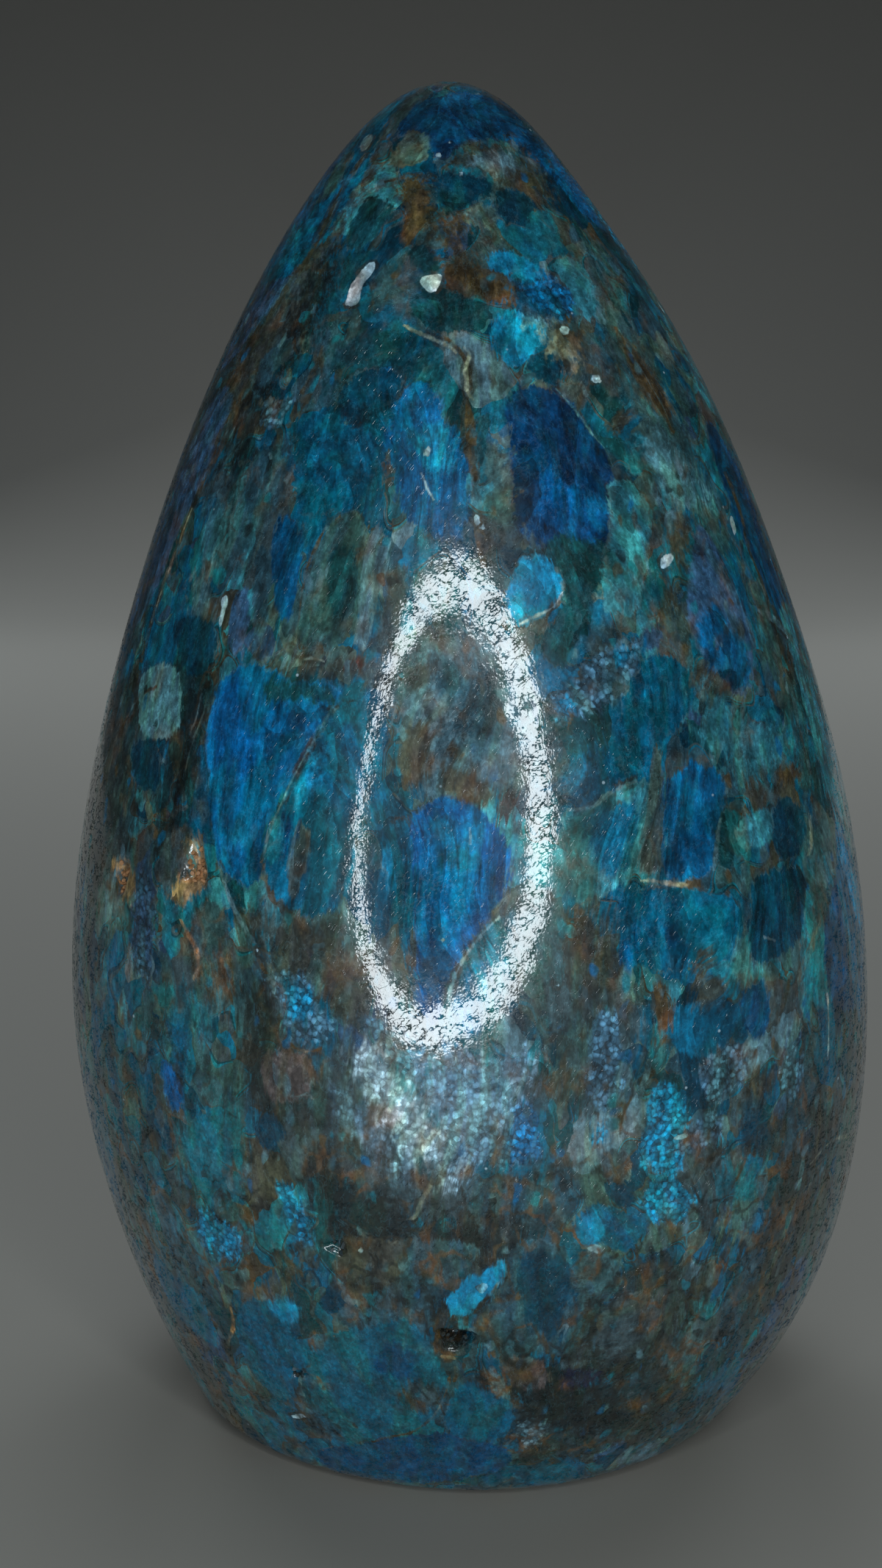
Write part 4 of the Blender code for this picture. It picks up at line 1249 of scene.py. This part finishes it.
    # Painted glints: tiny pale specks, scattered in patches, painted into the colour where small faces would catch the
    # light.
    glint_cells = bench.cells(bench.stretch(place, (1.9, 1.9, 1.9)))
    chance = bench.node("ShaderNodeSeparateColor", {"Color": glint_cells.outputs["Color"]}).outputs
    painted_glint = bench.maths("MULTIPLY", bench.ease(glint_cells.outputs["Distance"], 0.11, 0.05), bench.ease(chance[1], 0.915, 0.93))
    glint_patches = bench.ease(bench.noise(bench.stretch(place, (7.0, 7.0, 7.0), shift=(2.0, 9.0, 4.0)), 1.0), 0.48, 0.60)
    painted_glint = bench.maths("MULTIPLY", painted_glint, glint_patches)
    # Painted glints: thin bright strokes along the fibres, painted into the colour as a lighter tint.
    glint_stroke = bench.noise(bench.stretch(grown, (0.62, 0.62, 1.5), shift=(11.0, 4.0, 2.0)), 2.0, 0.62)
    glint_stroke = bench.ease(bench.maths("ABSOLUTE", bench.maths("SUBTRACT", glint_stroke, 0.5)), 0.030, 0.008)
    glint_stroke = bench.maths("MULTIPLY", glint_stroke, bench.ease(flake[1], 0.30, 0.60, 0.0, 0.42))
    colour = bench.blend(glint_stroke, colour, bench.vector("MULTIPLY_ADD", colour, (1.6, 1.6, 1.6), (0.018, 0.045, 0.055)))
    colour = bench.vector("MULTIPLY", colour, look.colour_gain)
    colour = bench.blend(bench.maths("MULTIPLY", painted_glint, 0.8), colour, (0.45, 0.60, 0.68, 1.0))

    pits = bench.cells(bench.stretch(place, (0.62, 0.62, 0.62)))
    pit_chance = bench.node("ShaderNodeSeparateColor", {"Color": pits.outputs["Color"]}).outputs
    pit = bench.maths("MULTIPLY", bench.ease(pits.outputs["Distance"], 0.26, 0.12), bench.ease(pit_chance[0], 0.66, 0.74))
    cracking = bench.noise(bench.stretch(place, (0.95, 0.95, 0.55), turn=(0.0, math.radians(-24.0), 0.0)), 2.0, 0.62)
    crack = bench.ease(bench.maths("ABSOLUTE", bench.maths("SUBTRACT", cracking, 0.5)), 0.052, 0.026)
    cracked = bench.ease(bench.noise(bench.stretch(place, (1.2, 1.2, 1.2), shift=(8.0, 8.0, 1.0)), 1.0), 0.42, 0.50)
    crack = bench.maths("MULTIPLY", crack, cracked)
    scratches = bench.cells(bench.stretch(place, (0.16, 0.9, 1.2), turn=(0.0, math.radians(38.0), 0.0)))
    scratch_chance = bench.node("ShaderNodeSeparateColor", {"Color": scratches.outputs["Color"]}).outputs
    scratch = bench.maths("MULTIPLY", bench.ease(scratches.outputs["Distance"], 0.34, 0.15), bench.ease(scratch_chance[2], 0.72, 0.80))
    waviness = bench.noise(bench.stretch(place, (2.6, 2.6, 2.6), shift=(5.0, 5.0, 5.0)), 1.0, 0.5)
    middle, _ = skin_at(*SCUFF_PLACE)
    from_scuff = bench.stretch(place, SCUFF_REACH, shift=tuple(middle / MM))
    scuffed = bench.ease(bench.vector_length(bench.vector("MULTIPLY_ADD", jumbled, (0.6, 0.6, 0.6), from_scuff)), 1.0, 0.5)
    worn = bench.maths("MULTIPLY_ADD", scuffed, 3.0, 1.0)
    height = bench.maths("MULTIPLY", bench.maths("MULTIPLY", scratch, worn), -0.018 * MM)
    height = bench.maths("MULTIPLY_ADD", waviness, 0.034 * MM, height)
    height = bench.maths("MULTIPLY_ADD", fine, bench.maths("MULTIPLY_ADD", scuffed, 0.020 * MM, 0.008 * MM), height)
    bump = bench.node("ShaderNodeBump", {"Height": height, "Strength": 1.0, "Distance": 1.0}).outputs["Normal"]
    broken_skin = bench.maths("MAXIMUM", crack, pit)
    polished = bench.maths("SUBTRACT", 1.0, broken_skin)

    surface = bench.node("ShaderNodeBsdfPrincipled")
    bench.feed(surface.inputs["Base Color"], colour)
    bench.feed(surface.inputs["Normal"], bump)
    bench.feed(surface.inputs["Coat Normal"], bump)
    rubbed = bench.noise(bench.stretch(place, (9.0, 9.0, 12.0), shift=(4.0, 1.0, 2.0)), 2.0, 0.5)
    rubbed = bench.ease(rubbed, 0.40, 0.60, 0.0, look.rub_unevenness)
    rubbed = bench.maths("MAXIMUM", bench.maths("ADD", rubbed, look.rub_roughness), bench.maths("MULTIPLY", broken_skin, 0.6))
    bench.feed(surface.inputs["Roughness"], rubbed)
    surface.inputs["IOR"].default_value = look.polish_index
    surface.inputs["Specular IOR Level"].default_value = 0.20
    bench.feed(surface.inputs["Coat Weight"], polished)
    surface.inputs["Coat Roughness"].default_value = look.polish_roughness
    surface.inputs["Coat IOR"].default_value = look.polish_index
    bench.node("ShaderNodeOutputMaterial", {"Surface": surface.outputs["BSDF"]})
    return material


def grain_material(look):
    """Fresh blue-grey crystal faces, as in the open hollows."""
    material = bpy.data.materials.new("hollow_crystals")
    material.use_nodes = True
    material.node_tree.nodes.clear()
    bench = Bench(material.node_tree)
    place = bench.node("ShaderNodeTexCoord").outputs["Object"]
    place = bench.vector("SCALE", place)
    place.node.inputs["Scale"].default_value = 1 / MM
    patches = bench.noise(bench.stretch(place, (0.9, 0.9, 0.9)), 2.0, 0.6)
    colour = bench.blend(bench.ease(patches, 0.38, 0.62), (*TINTS["loam"], 1.0), (*TINTS["slate"], 1.0))
    up = bench.node("ShaderNodeSeparateXYZ", {"Vector": place}).outputs[2]
    rusty = bench.maths("MULTIPLY", bench.ease(up, 60.0, 64.0), bench.ease(up, 80.0, 76.0))
    colour = bench.blend(rusty, colour, (*look.hollow_colour, 1.0))
    surface = bench.node("ShaderNodeBsdfPrincipled")
    bench.feed(surface.inputs["Base Color"], colour)
    surface.inputs["Roughness"].default_value = 0.55
    bench.node("ShaderNodeOutputMaterial", {"Surface": surface.outputs["BSDF"]})
    return material


class TreeBench(Bench):
    """A geometry tree with named inputs, used through a modifier."""

    def __init__(self, name, inputs):
        super().__init__(bpy.data.node_groups.new(name, "GeometryNodeTree"))
        self.tree.interface.new_socket("Geometry", in_out="INPUT", socket_type="NodeSocketGeometry")
        self.sockets = {}
        for label, kind in inputs:
            self.sockets[label] = self.tree.interface.new_socket(label, in_out="INPUT", socket_type=kind).identifier
        self.tree.interface.new_socket("Geometry", in_out="OUTPUT", socket_type="NodeSocketGeometry")
        self.given = self.node("NodeGroupInput").outputs

    def finish(self, geometry):
        """Realizes what the tree made and gives it its material."""
        real = self.node("GeometryNodeRealizeInstances", {"Geometry": geometry}).outputs[0]
        dressed = self.node("GeometryNodeSetMaterial", {"Geometry": real, "Material": self.given["Material"]})
        self.node("NodeGroupOutput", {"Geometry": dressed.outputs[0]})

    def use_on(self, piece, values):
        """Runs the tree on a piece and leaves a plain mesh in its place."""
        modifier = piece.modifiers.new(self.tree.name, "NODES")
        modifier.node_group = self.tree
        for label, value in values.items():
            modifier[self.sockets[label]] = value
        graph = bpy.context.evaluated_depsgraph_get()
        made = bpy.data.meshes.new_from_object(
            piece.evaluated_get(graph), preserve_all_data_layers=True, depsgraph=graph
        )
        piece.modifiers.clear()
        rough = piece.data
        piece.data = made
        bpy.data.meshes.remove(rough)


def open_pits_tree():
    """Small shallow pits, scattered over the skin where soft grains have been pulled out by the polishing."""
    inputs = (
        ("Density", "NodeSocketFloat"),
        ("Seed", "NodeSocketInt"),
        ("Radius", "NodeSocketFloat"),
        ("Depth", "NodeSocketFloat"),
        ("Material", "NodeSocketMaterial"),
    )
    bench = TreeBench("open pits", inputs)
    given = bench.given
    scatter = {"Mesh": given["Geometry"], "Density": given["Density"], "Seed": given["Seed"]}
    middles = bench.node("GeometryNodeDistributePointsOnFaces", scatter).outputs["Points"]
    nearest = bench.node("GeometryNodeProximity", {"Geometry": middles}, target_element="POINTS").outputs["Distance"]
    share = bench.maths("DIVIDE", nearest, given["Radius"])
    inside = bench.maths("MULTIPLY", bench.ease(share, 1.0, 0.35), given["Depth"])
    out = bench.node("GeometryNodeInputNormal").outputs[0]
    push = bench.vector("SCALE", out)
    bench.feed(push.node.inputs["Scale"], bench.maths("MULTIPLY", inside, -1.0))
    pitted = bench.node("GeometryNodeSetPosition", {"Geometry": given["Geometry"], "Offset": push}).outputs[0]
    bench.finish(pitted)
    return bench


def hollow_grains_tree():
    """Small six-sided crystals, standing at odd angles on the floor of a hollow."""
    inputs = (
        ("Density", "NodeSocketFloat"),
        ("Seed", "NodeSocketInt"),
        ("Width", "NodeSocketFloat"),
        ("Length", "NodeSocketFloat"),
        ("Material", "NodeSocketMaterial"),
    )
    bench = TreeBench("hollow grains", inputs)
    given = bench.given
    scatter = {"Mesh": given["Geometry"], "Density": given["Density"], "Seed": given["Seed"]}
    floor = bench.node("GeometryNodeDistributePointsOnFaces", scatter).outputs
    sizes = {"Vertices": 6, "Radius": given["Width"], "Depth": given["Length"]}
    crystal = bench.node("GeometryNodeMeshCylinder", sizes).outputs["Mesh"]
    lean = bench.node("FunctionNodeRandomValue", {"Seed": given["Seed"]}, data_type="FLOAT_VECTOR")
    bench.feed(lean.inputs[0], (-0.7, -0.7, 0.0))
    bench.feed(lean.inputs[1], (0.7, 0.7, 6.3))
    turned = {"Rotation": floor["Rotation"], "Rotate By": lean.outputs[0]}
    stand = bench.node("FunctionNodeRotateRotation", turned, rotation_space="LOCAL").outputs[0]
    grown = bench.node("FunctionNodeRandomValue", {"Seed": given["Seed"]}, data_type="FLOAT_VECTOR")
    bench.feed(grown.inputs[0], (0.5, 0.5, 0.5))
    bench.feed(grown.inputs[1], (1.2, 1.0, 1.3))
    placed = {"Points": floor["Points"], "Instance": crystal, "Rotation": stand, "Scale": grown.outputs[0]}
    bench.finish(bench.node("GeometryNodeInstanceOnPoints", placed).outputs[0])
    return bench


def add_piece(name, points, faces):
    """A mesh piece with its place in its mesh, linked into the scene."""
    mesh = bpy.data.meshes.new(name)
    mesh.from_pydata([tuple(point) for point in points], [], faces)
    mesh.update()
    piece = bpy.data.objects.new(name, mesh)
    bpy.context.scene.collection.objects.link(piece)
    return piece


def hollow_floors(stone):
    """The faces of the stone that form the floors of its hollows, as points and faces of their own."""
    points, faces = [], []
    for bearing, height, half_width, half_height, depth in HOLLOWS:
        middle, out = skin_at(bearing, height)
        reach = max(half_width, half_height)
        for face in stone.data.polygons:
            off = face.center - middle
            if off.length < 1.2 * reach and off.dot(out) < -0.45 * depth:
                faces.append(tuple(range(len(points), len(points) + 3)))
                points.extend(stone.data.vertices[index].co[:] for index in face.vertices)
    if not faces:
        raise RuntimeError("the stone has no open hollow for the grains to stand in")
    return points, faces


def glowing(name, colour, strength):
    material = bpy.data.materials.new(name)
    material.use_nodes = True
    material.node_tree.nodes.clear()
    bench = Bench(material.node_tree)
    light = bench.node("ShaderNodeEmission", {"Color": (*colour, 1.0), "Strength": strength})
    bench.node("ShaderNodeOutputMaterial", {"Surface": light.outputs[0]})
    return material


def matte(name, colour):
    material = bpy.data.materials.new(name)
    material.use_nodes = True
    surface = material.node_tree.nodes["Principled BSDF"]
    surface.inputs["Base Color"].default_value = (*colour, 1.0)
    surface.inputs["Roughness"].default_value = 0.85
    return material


def hang_panel(name, place, aim, size, colour, power):
    """A soft light panel that faces a point."""
    light = bpy.data.lights.new(name, "AREA")
    light.size = size
    light.color = colour
    light.energy = power
    panel = bpy.data.objects.new(name, light)
    panel.location = place
    panel.rotation_euler = (Vector(aim) - Vector(place)).to_track_quat("-Z", "Y").to_euler()
    panel.visible_glossy = False
    bpy.context.scene.collection.objects.link(panel)
    return panel


def sweep_points(width, front, back, height, bend):
    """A floor that curves up into a backdrop, as rows of points from front to back and up."""
    rows = [(front, 0.0), (back - bend, 0.0)]
    for step in range(1, 16):
        angle = math.pi / 2 * step / 16
        rows.append((back - bend + bend * math.sin(angle), bend - bend * math.cos(angle)))
    rows += [(back, bend), (back, height)]
    points = [(side * width / 2, y, z) for y, z in rows for side in (-1, 1)]
    faces = [(2 * row, 2 * row + 1, 2 * row + 3, 2 * row + 2) for row in range(len(rows) - 1)]
    return points, faces


def ring_points(camera, radius, tube):
    """A flat ring round the camera, in the plane that the camera looks out of, wider at its right."""
    points, faces = [], []
    steps = 96
    for step in range(steps):
        angle = math.tau * step / steps
        point = math.exp(-(((angle - RING_POINT) / math.radians(17.0)) ** 2))
        wide = tube * (1.00 + 0.42 * math.cos(angle - RING_WIDEST) + 0.12 * math.cos(2 * angle + math.pi) + 0.3 * point)
        middle = radius * (1.0 + 0.05 * point)
        for reach in (middle - wide / 2, middle + wide / 2):
            up = RING_TALL * reach * math.sin(angle)
            across = RING_BROAD * reach * math.cos(angle) + RING_LEAN * up
            points.append(camera @ Vector((across - RING_LEFT * radius, up - RING_DOWN * radius, 0.0)))
        after = (step + 1) % steps
        faces.append((2 * step, 2 * after, 2 * after + 1, 2 * step + 1))
    return points, faces


class StoneLook(bpy.types.PropertyGroup):
    colour_gain: bpy.props.FloatVectorProperty(
        name="Colour Gain", description="How strongly the stone's tints come out", default=(0.90, 1.12, 1.18), subtype="XYZ"
    )
    earth_colour: bpy.props.FloatVectorProperty(
        name="Earth Colour", description="The brown rock between the crystals", default=TINTS["umber"], subtype="COLOR"
    )
    rust_colour: bpy.props.FloatVectorProperty(
        name="Rust Colour", description="The iron stain in the seams", default=TINTS["rust"], subtype="COLOR"
    )
    hollow_colour: bpy.props.FloatVectorProperty(
        name="Hollow Colour", description="The stained grains in the hollows", default=TINTS["orange"], subtype="COLOR"
    )
    rings: bpy.props.IntProperty(
        name="Rings", description="Rings of faces from the table to the tip", default=296, min=40
    )
    segments: bpy.props.IntProperty(
        name="Segments", description="Faces round each ring", default=312, min=40
    )
    seed: bpy.props.IntProperty(
        name="Growth Seed", description="Which crystals grow at the sides and back", default=7
    )
    crystals: bpy.props.IntProperty(
        name="Crystals", description="How many large crystals grow at the sides and back", default=46, min=0
    )
    pit_density: bpy.props.FloatProperty(
        name="Pit Density", description="Open pits to each square metre of skin", default=500.0, min=0.0
    )
    pit_radius: bpy.props.FloatProperty(
        name="Pit Radius", description="Radius of an open pit", default=0.0011, unit="LENGTH"
    )
    pit_depth: bpy.props.FloatProperty(
        name="Pit Depth", description="Depth of an open pit", default=0.00012, unit="LENGTH"
    )
    grain_width: bpy.props.FloatProperty(
        name="Grain Radius", description="Radius of a crystal in a hollow", default=0.00026, unit="LENGTH"
    )
    grain_length: bpy.props.FloatProperty(
        name="Grain Length", description="Length of a crystal in a hollow", default=0.0008, unit="LENGTH"
    )
    rub_roughness: bpy.props.FloatProperty(
        name="Grain Roughness", description="Roughness of the cut grains under the polish", default=0.20, min=0, max=1
    )
    rub_unevenness: bpy.props.FloatProperty(
        name="Grain Unevenness", description="How much rougher the cut grains are in places", default=0.12, min=0, max=1
    )
    polish_roughness: bpy.props.FloatProperty(
        name="Polish Roughness", description="Roughness of the polish itself", default=0.06, min=0, max=1
    )
    polish_index: bpy.props.FloatProperty(
        name="Polish Index", description="Refractive index of the polished apatite", default=1.63, min=1, max=2
    )


class StageLook(bpy.types.PropertyGroup):
    camera_distance: bpy.props.FloatProperty(
        name="Camera Distance", description="From the lens to the point it aims at", default=0.1824, unit="LENGTH"
    )
    camera_aim: bpy.props.FloatVectorProperty(
        name="Camera Aim", description="The point the lens aims at", default=(-0.0035, -0.0002, 0.0737), unit="LENGTH"
    )
    camera_pitch: bpy.props.FloatProperty(
        name="Camera Pitch", description="How far the lens looks down", default=math.radians(11.5), unit="ROTATION"
    )
    ring_radius: bpy.props.FloatProperty(
        name="Ring Radius", description="Radius of the ring light round the lens", default=0.082, unit="LENGTH"
    )
    ring_tube: bpy.props.FloatProperty(
        name="Ring Tube", description="Width of the ring light's tube", default=0.016, unit="LENGTH"
    )
    ring_strength: bpy.props.FloatProperty(
        name="Ring Strength", description="Brightness of the ring light", default=12.5, min=0.0
    )
    ring_colour: bpy.props.FloatVectorProperty(
        name="Ring Colour", description="Colour of the ring light", default=(0.86, 0.95, 1.0), subtype="COLOR"
    )
    floor_colour: bpy.props.FloatVectorProperty(
        name="Floor Colour", description="Colour of the floor and backdrop", default=(0.25, 0.235, 0.205), subtype="COLOR"
    )
    panel_power: bpy.props.FloatProperty(
        name="Panel Power", description="Power of each soft side panel", default=3.2, unit="POWER"
    )
    wall_power: bpy.props.FloatProperty(
        name="Wall Power", description="Power of the panel that lights the backdrop", default=5.0, unit="POWER"
    )
    room_light: bpy.props.FloatProperty(
        name="Room Light", description="Light that comes from all round", default=0.03, min=0.0
    )


class APATITE_OT_build_stage(bpy.types.Operator):
    """Builds the floor, the lights and the camera"""

    bl_idname = "apatite.build_stage"
    bl_label = "Build Stage"

    def execute(self, context):
        look = context.scene.apatite_stage
        scene = context.scene
        aim = Vector(look.camera_aim)
        pitch = look.camera_pitch
        place = aim + look.camera_distance * Vector((0.0, -math.cos(pitch), math.sin(pitch)))
        lens = bpy.data.cameras.new("stone camera")
        lens.lens = 36.0
        lens.sensor_width = 36.0
        lens.clip_start = 0.01
        camera = bpy.data.objects.new("stone camera", lens)
        camera.matrix_world = Matrix.Translation(place) @ Matrix.Rotation(math.pi / 2 - pitch, 4, "X")
        scene.collection.objects.link(camera)
        scene.camera = camera

        points, faces = sweep_points(6.0, -2.0, 1.5, 2.6, 0.6)
        floor = add_piece("floor_sweep", points, faces)
        floor.data.shade_smooth()
        floor.data.materials.append(matte("floor paper", look.floor_colour))
        around = Matrix.Translation(place) @ Matrix.Rotation(math.pi / 2 - pitch, 4, "X")
        points, faces = ring_points(around, look.ring_radius, look.ring_tube)
        ring = add_piece("ring_light", points, faces)
        ring.data.materials.append(glowing("ring glow", look.ring_colour, look.ring_strength))
        ring.visible_camera = False

        middle = (0.0, 0.0, 0.07)
        cool = (0.80, 0.90, 1.0)
        hang_panel("left panel", (-0.60, 0.80, 0.55), middle, 0.5, cool, look.panel_power)
        hang_panel("right panel", (0.60, 0.80, 0.55), middle, 0.5, cool, look.panel_power)
        hang_panel("back panel", (0.0, 0.75, 1.10), middle, 0.6, cool, look.panel_power)
        hang_panel("wall panel", (0.0, 0.30, 1.60), (0.0, 1.5, 0.4), 1.0, cool, look.wall_power)

        world = bpy.data.worlds.new("dim room")
        world.use_nodes = True
        room = world.node_tree.nodes["Background"].inputs
        room["Color"].default_value = (0.75, 0.85, 1.0, 1.0)
        room["Strength"].default_value = look.room_light
        scene.world = world
        scene.view_settings.view_transform = "Standard"
        scene.view_settings.look = "None"
        return {"FINISHED"}


class APATITE_OT_build_stone(bpy.types.Operator):
    """Builds the polished stone with its crystals, stains and veins"""

    bl_idname = "apatite.build_stone"
    bl_label = "Build Stone"

    def execute(self, context):
        look = context.scene.apatite_stone
        stone = add_piece("polished_stone", *polished_skin(look.rings, look.segments))
        press_hollows(stone.data)
        lay_cuts(stone.data, drawn_cuts() + grown_cuts(look.seed, look.crystals))
        finish = apatite_material(look)
        pits = {
            "Density": look.pit_density,
            "Seed": look.seed,
            "Radius": look.pit_radius,
            "Depth": look.pit_depth,
            "Material": finish,
        }
        open_pits_tree().use_on(stone, pits)
        stone.data.shade_smooth()
        if not stone.data.materials:
            raise RuntimeError("the stone came out without its material")
        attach(stone, BODY)
        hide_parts(SOLID)
        return {"FINISHED"}


class APATITE_OT_build_grains(bpy.types.Operator):
    """Builds the small crystals that stand in the stone's open hollows"""

    bl_idname = "apatite.build_grains"
    bl_label = "Build Hollow Grains"

    def execute(self, context):
        look = context.scene.apatite_stone
        stone = bpy.data.objects.get("polished_stone")
        if stone is None:
            raise RuntimeError("the stone is built before the grains in its hollows")
        grains = add_piece("hollow_grains", *hollow_floors(stone))
        size = {
            "Density": 1.5e6,
            "Seed": look.seed,
            "Width": look.grain_width,
            "Length": look.grain_length,
            "Material": grain_material(look),
        }
        hollow_grains_tree().use_on(grains, size)
        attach(grains, BODY)
        return {"FINISHED"}


class APATITE_PT_panel(bpy.types.Panel):
    bl_label = "Apatite Freeform"
    bl_idname = "APATITE_PT_panel"
    bl_space_type = "VIEW_3D"
    bl_region_type = "UI"
    bl_category = "Apatite"

    def draw(self, context):
        for label, group, builders in (
            ("Stage", context.scene.apatite_stage, ("apatite.build_stage",)),
            ("Stone", context.scene.apatite_stone, ("apatite.build_stone", "apatite.build_grains")),
        ):
            box = self.layout.box()
            box.label(text=label)
            for name in group.__annotations__:
                box.prop(group, name)
            for builder in builders:
                box.operator(builder)


CLASSES = (
    StoneLook,
    StageLook,
    APATITE_OT_build_stage,
    APATITE_OT_build_stone,
    APATITE_OT_build_grains,
    APATITE_PT_panel,
)


def register():
    for made in CLASSES:
        bpy.utils.register_class(made)
    bpy.types.Scene.apatite_stone = bpy.props.PointerProperty(type=StoneLook)
    bpy.types.Scene.apatite_stage = bpy.props.PointerProperty(type=StageLook)


def unregister():
    del bpy.types.Scene.apatite_stage
    del bpy.types.Scene.apatite_stone
    for made in reversed(CLASSES):
        bpy.utils.unregister_class(made)


def main():
    register()
    bpy.ops.apatite.build_stage()
    bpy.ops.apatite.build_stone()
    bpy.ops.apatite.build_grains()


if __name__ == "__main__":
    main()
